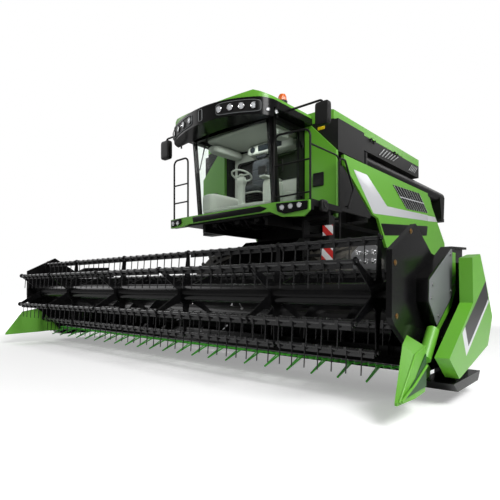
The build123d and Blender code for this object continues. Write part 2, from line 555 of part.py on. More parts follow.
# Door frame and its pane on the left side, hinged at its rear edge
door_x = (CAB_HALF + 4, CAB_HALF + 44)
door_z = (CAB_FLOOR_Z + 12, CAB_TOP_Z - 10)
door_foot_y = CAB_FRONT_Y + 35
door_head_y = cab_head_y + 50
door_slope = (door_head_y - door_foot_y) / (door_z[1] - door_z[0])
door_outline = [(DOOR_REAR_Y, door_z[0]), (DOOR_REAR_Y, door_z[1]), (door_head_y, door_z[1]),
                (door_foot_y, door_z[0])]
pane_outline = [(DOOR_REAR_Y - 55, door_z[0] + 60), (DOOR_REAR_Y - 55, door_z[1] - 60),
                (door_head_y + 55, door_z[1] - 60), (door_foot_y + 55 + door_slope * 60, door_z[0] + 60)]
cab_door = side_plate(door_outline, *door_x)
cab_door -= side_plate(pane_outline, door_x[0] - 1, door_x[1] + 1)
door_glass = side_plate(pane_outline, door_x[0] + 16, door_x[0] + 16 + GLASS_T)
hinge_y = DOOR_REAR_Y + 16
hinge_x = CAB_HALF + 66
for z in (CAB_FLOOR_Z + 250, CAB_TOP_Z - 300):
    cab_door += rod((hinge_x, hinge_y, z), (hinge_x, hinge_y, z + 60), 12)
    cab_door += block((door_x[1] - 8, hinge_x), (DOOR_REAR_Y - 40, DOOR_REAR_Y - 2), (z, z + 60))
    cab_door += block((hinge_x - 6, hinge_x + 6), (DOOR_REAR_Y - 40, hinge_y), (z, z + 60))
    cab_door -= rod((hinge_x, hinge_y, z - 1), (hinge_x, hinge_y, z + 52), 5 + PLAY)
    cab_shell += rod((hinge_x, hinge_y, z - 40), (hinge_x, hinge_y, z - PLAY), 12)
    cab_shell += rod((hinge_x, hinge_y, z - 2), (hinge_x, hinge_y, z + 48), 5)
    cab_shell += block((CAB_HALF + 40, hinge_x), (hinge_y - 4, hinge_y + 12), (z - 40, z - PLAY))

# Roof: crowned black visor with a deep front, and the lime dome on it
roof_rear = CORNER_Y - MOVE_GAP


def roof_plan(inset):
    """Roof outline seen from above, drawn in by inset."""
    half, nose = ROOF_HALF - inset, ROOF_NOSE_Y + inset
    corner_x, corner_y = half - 130, ROOF_CORNER_Y + inset
    turn = (half - 35, (corner_y + ROOF_SIDE_Y) / 2 - 35)
    return make_face([
        Line((-half, roof_rear), (-half, ROOF_SIDE_Y)),
        ThreePointArc((-half, ROOF_SIDE_Y), (-turn[0], turn[1]), (-corner_x, corner_y)),
        ThreePointArc((-corner_x, corner_y), (0, nose), (corner_x, corner_y)),
        ThreePointArc((corner_x, corner_y), turn, (half, ROOF_SIDE_Y)),
        Line((half, ROOF_SIDE_Y), (half, roof_rear)),
        Line((half, roof_rear), (-half, roof_rear)),
    ])


def crowned(low, low_drop, top, top_drop):
    """Solid between two arcs across the machine that drop towards its sides."""
    half = ROOF_HALF + 50
    front, rear = ROOF_NOSE_Y - 200, CORNER_Y + 200
    plane = Plane(origin=(0, front, 0), x_dir=(1, 0, 0), z_dir=(0, -1, 0))
    face = plane * make_face([
        ThreePointArc((-half, low - low_drop), (0, low), (half, low - low_drop)),
        Line((half, low - low_drop), (half, top - top_drop)),
        ThreePointArc((half, top - top_drop), (0, top), (-half, top - top_drop)),
        Line((-half, top - top_drop), (-half, low - low_drop)),
    ])
    return extrude(face, amount=front - rear)


plan_slab = extrude(Plane.XY.offset(VISOR_LOW_Z - 200) * roof_plan(0), amount=900)
roof_visor = plan_slab & crowned(VISOR_LOW_Z, VISOR_CROWN, VISOR_TOP_Z, VISOR_CROWN)
roof_visor -= block((-ROOF_HALF - 1, ROOF_HALF + 1), (cab_head_y - GLASS_BULGE - 60, roof_rear + 1),
                    (VISOR_LOW_Z - 200, CAB_TOP_Z))
dome_half = ROOF_HALF + 130
dome_arc = Plane.YZ.offset(-dome_half) * make_face([
    ThreePointArc((ROOF_NOSE_Y, VISOR_TOP_Z - 10), ((ROOF_NOSE_Y + CORNER_Y) / 2, ROOF_TOP_Z - 15),
                  (CORNER_Y, ROOF_TOP_Z - 30)),
    Line((CORNER_Y, ROOF_TOP_Z - 30), (CORNER_Y, VISOR_TOP_Z - 150)),
    Line((CORNER_Y, VISOR_TOP_Z - 150), (ROOF_NOSE_Y, VISOR_TOP_Z - 150)),
    Line((ROOF_NOSE_Y, VISOR_TOP_Z - 150), (ROOF_NOSE_Y, VISOR_TOP_Z - 10)),
])
cab_roof = extrude(Plane.XY.offset(VISOR_LOW_Z) * roof_plan(18), amount=900)
dome_drop = ROOF_TOP_Z - VISOR_TOP_Z + VISOR_CROWN - 25
cab_roof &= crowned(VISOR_TOP_Z + SEAT_GAP, VISOR_CROWN, ROOF_TOP_Z, dome_drop)
cab_roof &= extrude(dome_arc, amount=2 * dome_half)

# Seat, steering column, console
seat_y = -1560.0
driver_seat = block((-170, 170), (seat_y - 150, seat_y + 150), (shell_low, shell_low + 340))
driver_seat += block((-250, 250), (seat_y - 260, seat_y + 220), (shell_low + 340, shell_low + 470))
driver_seat += block((-230, 230), (seat_y + 120, seat_y + 230), (shell_low + 470, shell_low + 1050))
column_y = -1930.0
cab_controls = block((-60, 60), (column_y - 40, column_y + 60), (shell_low, shell_low + 560))
wheel_plane = Plane(origin=(0, column_y + 10, shell_low + 610), z_dir=(0, 0.35, 1))
cab_controls += wheel_plane * Torus(170, 14)
cab_controls += wheel_plane * Box(340, 40, 16)
cab_controls += rod((0, column_y + 10, shell_low + 540), (0, column_y + 12, shell_low + 610), 30)
cab_controls += block((300, 470), (seat_y - 200, seat_y + 200), (shell_low, shell_low + 520))

# Hand rails on the platform, and the grab rail beside the ladder
rail_z = CAB_FLOOR_Z
front_rail_y = PLATFORM_FRONT_Y + 20
rail_x_in = CAB_HALF + 80
rails = bent_tube([(rail_x_in, front_rail_y, rail_z), (rail_x_in, front_rail_y, rail_z + 1020),
                   (RAIL_X_OUT, front_rail_y, rail_z + 980), (RAIL_X_OUT, front_rail_y, rail_z)],
                  RAIL_TUBE_R, 110)
for height in (100, 560):
    rails += rod((rail_x_in, front_rail_y, rail_z + height), (RAIL_X_OUT, front_rail_y, rail_z + height),
                 BAR_R)
rails += bent_tube([(RAIL_X_OUT, front_rail_y, rail_z + 770), (RAIL_X_OUT, CORNER_Y - 40, rail_z + 770),
                    (RAIL_X_OUT, CORNER_Y - 40, rail_z)], BAR_R, 110)
right_x = (-PLATFORM_RIGHT + 20, -PLATFORM_RIGHT + 400)
right_rail = bent_tube([(right_x[0], front_rail_y, rail_z), (right_x[0], front_rail_y, rail_z + 1080),
                        (right_x[1], front_rail_y, rail_z + 1080), (right_x[1], front_rail_y, rail_z)],
                       RAIL_TUBE_R, 90)
for height in (300, 620):
    right_rail += rod((right_x[0], front_rail_y, rail_z + height), (right_x[1], front_rail_y, rail_z + height),
                      BAR_R)
grab_x = BODY_HALF + 45
grab_rail = bent_tube([(grab_x, -1370, 1650), (grab_x, -1370, 3040), (grab_x, -1200, 3040),
                       (grab_x, -930, 2620), (grab_x, -1100, 2300)], RAIL_TUBE_R, 45)
grab_rail += rod((BODY_HALF - 10, -1082, 2334), (grab_x, -1082, 2334), 12)
grab_rail += rod((BODY_HALF - SHELL_T, -1370, 2095), (grab_x, -1370, 2095), 12)

# Mirrors on arms from the roof
mirror_z = CAB_TOP_Z - 130
arm_z = VISOR_TOP_Z - 100
mirrors = []
# columns: head's middle, its depth on Y, where the arm leaves the visor
for head_x, head_y, arm_start in ((ROOF_HALF + 570, -2010, ROOF_HALF - 20),
                                  (-ROOF_HALF - 310, -2420, -ROOF_HALF + 50)):
    mirrors.append(block((head_x - 100, head_x + 100), (head_y - 30, head_y + 30),
                         (mirror_z - 150, mirror_z + 150)))
    mirrors[-1] += bent_tube([(arm_start, head_y, arm_z), (head_x, head_y, arm_z),
                              (head_x, head_y, mirror_z)], 16, 60)
    mirrors[-1] -= roof_visor

# Work lamps in the visor, head lamps in the fascia, beacon on the roof
lamp_z = (VISOR_TOP_Z + VISOR_LOW_Z) / 2
work_lamps = []
for x in (330, 520, 700, 880):
    for side in (1, -1):
        bulge = (ROOF_CORNER_Y - ROOF_NOSE_Y) * (x / (ROOF_HALF - 130)) ** 2
        z = lamp_z - VISOR_CROWN * (x / ROOF_HALF) ** 2
        face_y = ROOF_NOSE_Y + bulge
        work_lamps.append(rod((side * x, face_y + 40, z), (side * x, face_y - 12, z), LAMP_R))
        roof_visor -= rod((side * x, face_y + 40, z), (side * x, face_y - 60, z), LAMP_R + 1)
lamp_box_z = (CAB_FLOOR_Z - 120, CAB_FLOOR_Z - 40)
head_lamps = [block((x - 62, x + 62), (fascia_y[0] - 14, fascia_y[0]), lamp_box_z)
              for x in (-PLATFORM_RIGHT + 90, PLATFORM_HALF - 450, PLATFORM_HALF - 300, PLATFORM_HALF - 150)]
beacon_at = (800.0, -1850.0)
beacon_z = ROOF_TOP_Z - 150
beacon = rod((*beacon_at, beacon_z), (*beacon_at, beacon_z + 80), 60)
beacon += rod((*beacon_at, beacon_z + 79), (*beacon_at, beacon_z + 190), 48)
cab_roof -= rod((*beacon_at, beacon_z), (*beacon_at, beacon_z + 300), 61)

# Ladder: two stringers, steps and two marker boards, swung forward of the wheel
ladder_x = (PLATFORM_HALF - LADDER_W, PLATFORM_HALF)
ladder_top = platform_low - 80
ladder_y = (-1780.0, -1620.0)
ladder = block((ladder_x[0], ladder_x[0] + 30), ladder_y, (560, ladder_top))
ladder += block((ladder_x[1] - 30, ladder_x[1]), ladder_y, (560, ladder_top))
for i in range(5):
    ladder += block((ladder_x[0], ladder_x[1]), ladder_y, (600 + i * 300, 630 + i * 300))
ladder += block((ladder_x[0], ladder_x[1]), ladder_y, (ladder_top - 40, ladder_top))
# columns: inner edge, low edge, high edge
for x0, z0, z1 in ((PLATFORM_HALF - 100, 1800, 1950), (PLATFORM_HALF - 140, 1400, 1620)):
    ladder += block((x0, PLATFORM_HALF + 70), (ladder_y[0] - 8, ladder_y[0] + 2), (z0, z1))
ladder_pin = (LADDER_PIVOT_X, (ladder_y[0] + ladder_y[1]) / 2)
ladder += rod((*ladder_pin, ladder_top - 1), (*ladder_pin, CAB_FLOOR_Z - PLATFORM_T + 60), 18)
ladder += rod((*ladder_pin, ladder_top - 1), (*ladder_pin, CAB_FLOOR_Z - PLATFORM_T - PLAY), 30)
platform -= rod((*ladder_pin, CAB_FLOOR_Z - PLATFORM_T - 1), (*ladder_pin, CAB_FLOOR_Z - PLATFORM_T + 62),
                18 + PLAY)

# Feeder house: slanted box with a round head at its pivot
feeder_front = AUGER_Y + AUGER_R + AUGER_GAP + TROUGH_T
feeder_outline = [(feeder_front, 345), (feeder_front, 960),
                  (-1120, FEEDER_PIVOT_Z + FEEDER_HEAD_R), (FEEDER_PIVOT_Y, FEEDER_PIVOT_Z + FEEDER_HEAD_R),
                  (FEEDER_PIVOT_Y, FEEDER_PIVOT_Z),
                  (FEEDER_PIVOT_Y - 60, FEEDER_PIVOT_Z - FEEDER_HEAD_R + 10)]
feeder_house = side_plate(feeder_outline, -FEEDER_HALF, FEEDER_HALF)
feeder_house += across(FEEDER_PIVOT_Y, FEEDER_PIVOT_Z, FEEDER_HEAD_R, -FEEDER_HALF, FEEDER_HALF)
for side in (1, -1):
    for x in (side * (LIFT_X - 60), side * (LIFT_X + 60)):
        feeder_house += link((LIFT_EYE[0], LIFT_EYE[1] - 20), (LIFT_EYE[0] + 40, LIFT_EYE[1] + 200), 80,
                             x - 10, x + 10)
    feeder_house += across(LIFT_EYE[0], LIFT_EYE[1], 22, side * (LIFT_X - 70), side * (LIFT_X + 70))

# Pivot trunnions that carry the feeder house on the housing
trunnion_in = FEEDER_HALF
trunnion_r = 70.0
for side in (1, -1):
    feeder_house += across(FEEDER_PIVOT_Y, FEEDER_PIVOT_Z, trunnion_r, side * (FEEDER_HALF - 1),
                           side * (FEEDER_HALF + 90))
    ear = link((FEEDER_PIVOT_Y, FEEDER_PIVOT_Z), (HOUSING_FRONT_Y + 1, FEEDER_PIVOT_Z), 260,
               side * (FEEDER_HALF + MOVE_GAP), side * (FEEDER_HALF + 90))
    ear += across(FEEDER_PIVOT_Y, FEEDER_PIVOT_Z, 130, side * (FEEDER_HALF + MOVE_GAP),
                  side * (FEEDER_HALF + 90))
    ear -= across(FEEDER_PIVOT_Y, FEEDER_PIVOT_Z, trunnion_r + PLAY, side * FEEDER_HALF,
                  side * (FEEDER_HALF + 120))
    separator_housing += ear

# Lift cylinders: barrels on the axle, rods to the feeder house
lift_length = hypot(LIFT_EYE[0] - LIFT_BASE[0], LIFT_EYE[1] - LIFT_BASE[1])
along = ((LIFT_EYE[0] - LIFT_BASE[0]) / lift_length, (LIFT_EYE[1] - LIFT_BASE[1]) / lift_length)


def on_lift(x, distance):
    return (x, LIFT_BASE[0] + along[0] * distance, LIFT_BASE[1] + along[1] * distance)


barrel = across(LIFT_BASE[0], LIFT_BASE[1], 45, LIFT_X - 50, LIFT_X + 50)
barrel += rod(on_lift(LIFT_X, 35), on_lift(LIFT_X, BARREL_LENGTH), BARREL_R)
barrel -= across(LIFT_BASE[0], LIFT_BASE[1], 22 + PLAY, LIFT_X - 60, LIFT_X + 60)
barrel -= rod(on_lift(LIFT_X, 110), on_lift(LIFT_X, BARREL_LENGTH + 1), ROD_R + PLAY)
lift_barrels = both(barrel)
lift_rod = rod(on_lift(LIFT_X, 200), on_lift(LIFT_X, lift_length - 45), ROD_R)
lift_rod += across(LIFT_EYE[0], LIFT_EYE[1], 60, LIFT_X - 35, LIFT_X + 35)
lift_rod -= across(LIFT_EYE[0], LIFT_EYE[1], 40, LIFT_X - 60, LIFT_X + 60)
lift_rods = both(lift_rod)

# Header trough: floor, curved back, end walls and beams, with the feeder mouth
auger_z = FLOOR_Z + AUGER_GAP + AUGER_R
bowl_r = AUGER_R + AUGER_GAP
back_y = AUGER_Y + bowl_r
floor_front = KNIFE_Y
sheet = make_face([
    Line((floor_front, FLOOR_Z), (AUGER_Y, FLOOR_Z)),
    CenterArc((AUGER_Y, auger_z), bowl_r, 270, 90),
    Line((back_y, auger_z), (back_y, BACK_TOP_Z)),
    Line((back_y, BACK_TOP_Z), (back_y + TROUGH_T, BACK_TOP_Z)),
    Line((back_y + TROUGH_T, BACK_TOP_Z), (back_y + TROUGH_T, auger_z)),
    CenterArc((AUGER_Y, auger_z), bowl_r + TROUGH_T, 270, 90),
    Line((AUGER_Y, FLOOR_Z - TROUGH_T), (floor_front, FLOOR_Z - TROUGH_T)),
    Line((floor_front, FLOOR_Z - TROUGH_T), (floor_front, FLOOR_Z)),
])
header_trough = extrude(Plane.YZ.offset(-WALL_IN) * sheet, amount=2 * WALL_IN)
header_trough -= block((-MOUTH_HALF + 120, MOUTH_HALF - 120), (back_y - 100, back_y + 100), (380, 980))
header_trough += block((-WALL_IN, WALL_IN), (back_y + TROUGH_T, back_y + TROUGH_T + 130),
                       (BACK_TOP_Z - 150, BACK_TOP_Z))
wall_outline = [(-3990, 1340), (-3995, 790), (-3940, 725), (-3690, 555), (-3390, FLOOR_Z - TROUGH_T),
                (back_y + 150, FLOOR_Z - TROUGH_T), (back_y + 150, BACK_TOP_Z), (-3080, 1360), (-3480, 1600)]
wall = side_plate(wall_outline, WALL_IN, WALL_IN + WALL_T)
header_trough += wall
header_trough += mirrored(wall)
for side in (1, -1):
    ear_x = sorted((side * (ARM_IN - 12), side * (ARM_IN - 37)))
    header_trough += block(ear_x, (ARM_PIVOT_Y - 60, ARM_PIVOT_Y + 60), (BACK_TOP_Z - 1, ARM_PIVOT_Z + 60))
    header_trough += across(ARM_PIVOT_Y, ARM_PIVOT_Z, 24, side * (ARM_IN - 37), side * (ARM_IN + ARM_W + 8))

# Knife bar with guard fingers and crop lifters
finger_count = int(2 * WALL_IN / FINGER_PITCH)
comb = [(-WALL_IN + 5, KNIFE_Y + 28), (-WALL_IN + 5, KNIFE_Y)]
for i in range(finger_count):
    x = -finger_count * FINGER_PITCH / 2 + (i + 0.5) * FINGER_PITCH
    comb += [(x - 14, KNIFE_Y), (x - 3, KNIFE_Y - FINGER_REACH), (x + 3, KNIFE_Y - FINGER_REACH),
             (x + 14, KNIFE_Y)]
comb += [(WALL_IN - 5, KNIFE_Y), (WALL_IN - 5, KNIFE_Y + 28)]
lifters = []
for i in range(LIFTER_COUNT):
    x = (i - (LIFTER_COUNT - 1) / 2) * LIFTER_PITCH + FINGER_PITCH / 2
    tip = (KNIFE_Y - LIFTER_REACH, LIFTER_TIP_Z + 8)
    lifters.append(link((KNIFE_Y - 20, FLOOR_Z - 4), tip, 16, x - 7, x + 7))
    lifters.append(link((KNIFE_Y - 60, KNIFE_Z - 10), (tip[0] + 4, tip[1] + 4), 10, x - 5, x + 5))
knife_bar = floor_plate(comb, FLOOR_Z, KNIFE_Z) + lifters

# Crop dividers: pointed wedges outside both end walls, with a tube over the knife drive
wall_out = WALL_IN + WALL_T
# columns: y, inner x, outer x, low z, top z at the inner face, top z at the outer face
divider_stations = [(-3200, 0, 30, 212, 300, 290), (-3560, 0, 80, 208, 520, 480),
                    (-3790, 40, 190, 196, 640, 560), (-4030, 100, 200, 186, 590, 520),
                    (-4300, 150, 170, 176, 200, 195)]
sections = []
for y, inner, outer, low, top_in, top_out in divider_stations:
    corners = ((inner, low), (outer, low), (outer, top_out), (inner, top_in))
    plane = Plane(origin=(0, y, 0), x_dir=(1, 0, 0), z_dir=(0, -1, 0))
    sections.append(plane * make_face(Polyline(*[(wall_out + x, z) for x, z in corners], close=True)))
divider = loft(sections, ruled=True)
divider += rod((wall_out + 95, -3325, 655), (wall_out + 95, -3540, 415), 55)
crop_dividers = both(divider)

# Header ends: black cover with a grey plate, lime edge plate, gear box, skid and outer shield
plate_x = (wall_out + 80, wall_out + 100)
plate_outline = [(-2812, 1428), (-3450, 1108), (-3460, 907), (-3241, 668), (-2775, 945), (-2775, 1428)]
edge_outline = [(-3300, 1100), (-2812, 1390), (-2600, 1390), (-2600, 1000), (-2740, 840), (-3170, 590),
                (-3280, 720)]
cover_outline = [(-2290, 1465), (-2812, 1440), (-3462, 1118), (-3470, 905), (-3245, 655), (-2700, 930),
                 (-2290, 1100)]
shield_outline = [(-2920, 1315), (-2641, 1363), (-2431, 1113), (-2137, 724), (-2335, 435), (-3042, 296),
                  (-3326, 242), (-3602, 448), (-2890, 890)]
shield_x = (wall_out + 200, wall_out + 320)
skid_outline = [(-3420, 205), (-3300, 120), (-2640, 120), (-2560, 205)]
end_plate = side_plate(plate_outline, *plate_x)
edge_plate = side_plate(edge_outline, wall_out + 60, plate_x[0])
end_cover = side_plate(cover_outline, wall_out, wall_out + 60)
flange_outline = [(-2290, 1465), (-2812, 1440), (-3462, 1118), (-3470, 1100), (-2812, 1429), (-2290, 1440)]
end_cover += side_plate(flange_outline, wall_out, plate_x[1] + 2)
gear_box = side_plate([(-3120, 300), (-3120, 560), (-2560, 900), (-2560, 1290), (-2330, 1200), (-2330, 460)],
                      wall_out, shield_x[0])
skid = side_plate(skid_outline, wall_out, shield_x[0] + 100)
skid += block((wall_out, shield_x[0]), (-3000, -2600), (200, 310))
shield = side_plate(shield_outline, *shield_x)
end_bodies = both(end_cover + gear_box + skid)
end_plates = both(end_plate)
drive_shields = solids_of(both(shield), both(edge_plate))

# Intake auger: core with two helical flights that feed to the middle, and its stub shafts
intake_auger = across(AUGER_Y, auger_z, AUGER_CORE_R, -WALL_IN + MOVE_GAP, WALL_IN - MOVE_GAP)
for side in (1, -1):
    sections = []
    for i in range(FLIGHT_TURNS * FLIGHT_STEPS + 1):
        angle = side * 2 * pi * i / FLIGHT_STEPS
        x = side * (FLIGHT_START_X + FLIGHT_PITCH * i / FLIGHT_STEPS)
        corners = ((x - 5, AUGER_CORE_R - 15), (x + 5, AUGER_CORE_R - 15), (x + 5, AUGER_R),
                   (x - 5, AUGER_R))
        points = [(px, AUGER_Y + r * sin(angle), auger_z + r * cos(angle)) for px, r in corners]
        sections.append(make_face(Polyline(*points, close=True)))
    intake_auger += loft(sections, ruled=True)
    intake_auger += across(AUGER_Y, auger_z, 40, side * (WALL_IN - MOVE_GAP - 1),
                           side * (WALL_IN + WALL_T - 2))
for side in (1, -1):
    header_trough -= across(AUGER_Y, auger_z, 40 + PLAY, side * (WALL_IN - 1), side * (WALL_IN + WALL_T + 1))

# Reel: tube, spiders and stub shafts
reel_half = SPIDERS_X[-1]
spiders = [-x for x in reversed(SPIDERS_X)] + list(SPIDERS_X)
reel_core = across(REEL_Y, REEL_Z, REEL_TUBE_R, -reel_half, reel_half)
bat_points = []
for i in range(BAT_COUNT):
    angle = radians(BAT_PHASE + i * 360 / BAT_COUNT)
    bat_points.append((REEL_Y + REEL_R * cos(angle), REEL_Z + REEL_R * sin(angle)))
pieces, holes = [], []
for x in spiders:
    x0, x1 = x - SPIDER_T / 2, x + SPIDER_T / 2
    pieces.append(across(REEL_Y, REEL_Z, REEL_TUBE_R + 40, x0, x1))
    for point in bat_points:
        pieces.append(tapered((REEL_Y, REEL_Z), point, 130, 40, x0, x1))
        pieces.append(across(point[0], point[1], 36, x0, x1))
        holes.append(across(point[0], point[1], BAT_TUBE_R + PLAY, x0 - 1, x1 + 1))
reel_core = reel_core + pieces - holes
for side in (1, -1):
    reel_core += across(REEL_Y, REEL_Z, 32, side * reel_half, side * (ARM_IN + ARM_W - 2))

# Bats: tube, strips, clips and tines, kept upright as the reel turns


def make_bat():
    """One bat with its tube's axis on the X axis."""
    pieces = []
    for start, end in zip(spiders, spiders[1:]):
        pieces.append(cross_plate([(start + 30, 20), (end - 30, 20), (end - 30, -58), (start + 30, -58)],
                                  12, 18))
    tines = int((reel_half - 60) / TINE_PITCH - 0.5) + 1
    for i in range(-tines, tines):
        x = (i + 0.5) * TINE_PITCH
        pieces.append(block((x - 14, x + 14), (-22, 23), (-40, 24)))
        pieces.append(link((8, -30), (-6, -TINE_DROP), 9, x - 4.5, x + 4.5))
    return across(0, 0, BAT_TUBE_R, -reel_half - 24, reel_half + 24) + pieces


bat = make_bat()

# Reel arms on the back beam, with the sliding bearings of the reel
arm_out = ARM_IN + ARM_W
arm_length = hypot(REEL_Y - ARM_PIVOT_Y, REEL_Z - ARM_PIVOT_Z)
arm_dir = ((REEL_Y - ARM_PIVOT_Y) / arm_length, (REEL_Z - ARM_PIVOT_Z) / arm_length)


def on_arm(distance):
    return (ARM_PIVOT_Y + arm_dir[0] * distance, ARM_PIVOT_Z + arm_dir[1] * distance)


fork_end = arm_length - REEL_SLIDE - 130
arm = link(on_arm(0), on_arm(fork_end), 90, ARM_IN, arm_out)
arm += across(ARM_PIVOT_Y, ARM_PIVOT_Z, 55, ARM_IN, arm_out)
arm -= across(ARM_PIVOT_Y, ARM_PIVOT_Z, 24 + PLAY, ARM_IN - 1, arm_out + 1)
slot = link(on_arm(fork_end - 200 - REEL_SLIDE - 60), on_arm(fork_end + 1), 40, ARM_IN - 1, arm_out + 1)
arm -= slot
reel_arms = both(arm)
carrier = link(on_arm(fork_end - 200), on_arm(arm_length), 39, ARM_IN, arm_out)
carrier += across(REEL_Y, REEL_Z, 62, ARM_IN, arm_out)
carrier -= across(REEL_Y, REEL_Z, 32 + PLAY, ARM_IN - 1, arm_out + 1)
reel_carriers = both(carrier)

os.makedirs("parts", exist_ok=True)
save("chassis_rails", chassis)
save("front_axle", front_axle)
save("rear_axle", rear_axle)
save("separator_housing", separator_housing)
save("straw_hood", straw_hood)
save("straw_chopper", straw_chopper)
save("engine_block", engine_block)
save("engine_deck", engine_deck)
save("engine_hood", engine_hood)
save("grain_tank", grain_tank)
save("arch_panels", arch_panels)
save("corner_panels", corner_panels)
save("platform", platform)
save("platform_fascia", platform_fascia)
save("cab_shell", cab_shell)
save("cab_roof", cab_roof)
save("roof_visor", roof_visor)
save("cab_glass", windscreen, side_glass)
save("driver_seat", driver_seat)
save("cab_controls", cab_controls)
save("handrails", rails, right_rail, grab_rail)
save("mirrors", *mirrors)
save("work_lamps", *work_lamps, *head_lamps, beacon)
save("cab_door", cab_door)
save("door_glass", door_glass)
save("ladder", ladder)
save("side_panel_left", side_panel)
save("side_panel_right", mirrored(side_panel))
save("tank_lid_left", tank_lid)
save("tank_lid_right", mirrored(tank_lid))
save("unloading_auger", unloading_auger)
for name, shape in tyres.items():
    save(name, shape)
save("front_rim_left", front_rim)
save("front_rim_right", mirrored(front_rim))
save("rear_rim_left", rear_rim)
save("rear_rim_right", mirrored(rear_rim))
save("knuckle_left", knuckle)
save("knuckle_right", mirrored(knuckle))
save("tie_rod", tie_rod)
save("feeder_house", feeder_house)
save("lift_barrels", lift_barrels)
save("lift_rods", lift_rods)
save("header_trough", header_trough)
save("knife_bar", knife_bar)
save("crop_dividers", crop_dividers)
save("header_drives", end_bodies, end_plates)
save("drive_shields", *drive_shields)
save("intake_auger", intake_auger)
save("reel_arms", reel_arms)
save("reel_carriers", reel_carriers)
save("reel_core", reel_core)
for number, point in enumerate(bat_points, 1):
    save(f"reel_bat_{number}", Pos(0, *point) * bat)
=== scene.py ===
from math import cos, pi, radians, sin

import bmesh
import bpy
import numpy as np
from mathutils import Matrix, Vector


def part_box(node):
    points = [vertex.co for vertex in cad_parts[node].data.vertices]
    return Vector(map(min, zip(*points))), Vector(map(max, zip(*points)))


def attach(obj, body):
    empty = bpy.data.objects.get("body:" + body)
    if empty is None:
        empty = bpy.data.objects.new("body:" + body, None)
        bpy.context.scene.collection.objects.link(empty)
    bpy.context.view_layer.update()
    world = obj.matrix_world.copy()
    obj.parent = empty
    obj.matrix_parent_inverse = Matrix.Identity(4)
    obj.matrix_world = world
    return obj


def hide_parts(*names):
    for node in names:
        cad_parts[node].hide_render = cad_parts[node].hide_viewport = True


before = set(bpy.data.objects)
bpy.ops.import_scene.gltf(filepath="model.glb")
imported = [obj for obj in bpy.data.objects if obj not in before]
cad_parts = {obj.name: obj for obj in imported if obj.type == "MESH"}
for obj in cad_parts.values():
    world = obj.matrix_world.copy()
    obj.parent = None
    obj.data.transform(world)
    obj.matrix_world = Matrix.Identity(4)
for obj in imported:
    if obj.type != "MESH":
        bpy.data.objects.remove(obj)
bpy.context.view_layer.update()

bl_info = {
    "name": "Combine harvester finish",
    "version": (1, 0, 0),
    "blender": (4, 5, 0),
    "location": "View3D > Sidebar > Harvester",
    "description": "Paint, trim, cab fittings and studio stage for the combine harvester",
    "category": "Object",
}


# Settings

def colour(label, text, value):
    return bpy.props.FloatVectorProperty(name=label, description=text, default=value, size=3,
                                         subtype="COLOR", min=0.0, max=1.0)


def size(label, text, value):
    return bpy.props.FloatProperty(name=label, description=text, default=value, min=0.0,
                                   subtype="DISTANCE", unit="LENGTH")


def watts(label, text, value):
    return bpy.props.FloatProperty(name=label, description=text, default=value, min=0.0, unit="POWER")


class HarvesterColours(bpy.types.PropertyGroup):
    lime: colour("Lime", "Main body paint", (0.135, 0.43, 0.03))
    green: colour("Green", "Paint of the knife's guards", (0.07, 0.46, 0.04))
    black: colour("Black", "Black paint of frames and reel", (0.0035, 0.0035, 0.004))
    plastic: colour("Plastic", "Moulded black plastic", (0.007, 0.007, 0.0075))
    grey: colour("Grey", "Grey plate and rims", (0.17, 0.18, 0.185))
    silver: colour("Silver", "Silver-white side stripe", (0.72, 0.73, 0.76))
    pale: colour("Pale trim", "Light cab interior", (0.42, 0.45, 0.4))
    dust: colour("Dust", "Thin dust on flat tops", (0.3, 0.27, 0.2))
    floor: colour("Floor", "Studio floor", (0.86, 0.86, 0.86))


class HarvesterSizes(bpy.types.PropertyGroup):
    lamp: size("Work lamp", "Radius of the lamps in the visor's pods", 0.048)
    head_lamp: size("Head lamp", "Radius of the lamps in the fascia", 0.042)
    wheel_bolt: size("Wheel bolt", "Radius of a wheel bolt's head", 0.018)
    marker: size("Marker pitch", "Width of a red and a white stripe together", 0.24)
    floor_line: size("Floor line", "Radius of the steel lines under the platform", 0.011)


class HarvesterStage(bpy.types.PropertyGroup):
    key: watts("Key light", "Power of the main lamp", 1900.0)
    fill: watts("Fill light", "Power of the second lamp", 330.0)
    dome: watts("Cab light", "Power of the lamp under the cab's ceiling", 13.0)
    world: bpy.props.FloatProperty(name="World", description="Strength of the sky on the object",
                                   default=0.26, min=0.0, subtype="FACTOR")
    lens: bpy.props.FloatProperty(name="Lens", description="Focal length of the camera", default=31.445,
                                  min=1.0, unit="CAMERA")


# Node helpers

def wire(tree, node, **inputs):
    """Sets each input of a node, or links it where the value is a socket. Underscores stand for spaces, and i
    with a number for the input in that place."""
    for name, value in inputs.items():
        socket = node.inputs[int(name[1:]) if name[1:].isdigit() else name.replace("_", " ")]
        if isinstance(value, bpy.types.NodeSocket):
            tree.links.new(value, socket)
        else:
            socket.default_value = (*value, 1.0) if socket.type == "RGBA" else value
    return node


def put(tree, kind, settings=None, **inputs):
    """New node of that kind, with its settings and inputs."""
    node = tree.nodes.new("ShaderNode" + kind)
    for name, value in (settings or {}).items():
        setattr(node, name, value)
    return wire(tree, node, **inputs)


def calc(tree, operation, *values, clamp=False):
    """Output of a math node with the values on its inputs, in order."""
    inputs = {f"i{place}": value for place, value in enumerate(values)}
    return put(tree, "Math", {"operation": operation, "use_clamp": clamp}, **inputs).outputs[0]


def ramp(tree, value, kind="LINEAR", **limits):
    """Value carried from one range to another."""
    return put(tree, "MapRange", {"interpolation_type": kind}, Value=value, **limits).outputs["Result"]


def blend(tree, share, first, second):
    """Colour that goes from the first to the second as the share goes from 0 to 1."""
    return put(tree, "Mix", {"data_type": "RGBA"}, Factor=share, i6=first, i7=second).outputs[2]


def coordinate(tree, vector, axis):
    return put(tree, "SeparateXYZ", Vector=vector).outputs[axis]


def object_place(tree):
    return put(tree, "TexCoord").outputs["Object"]


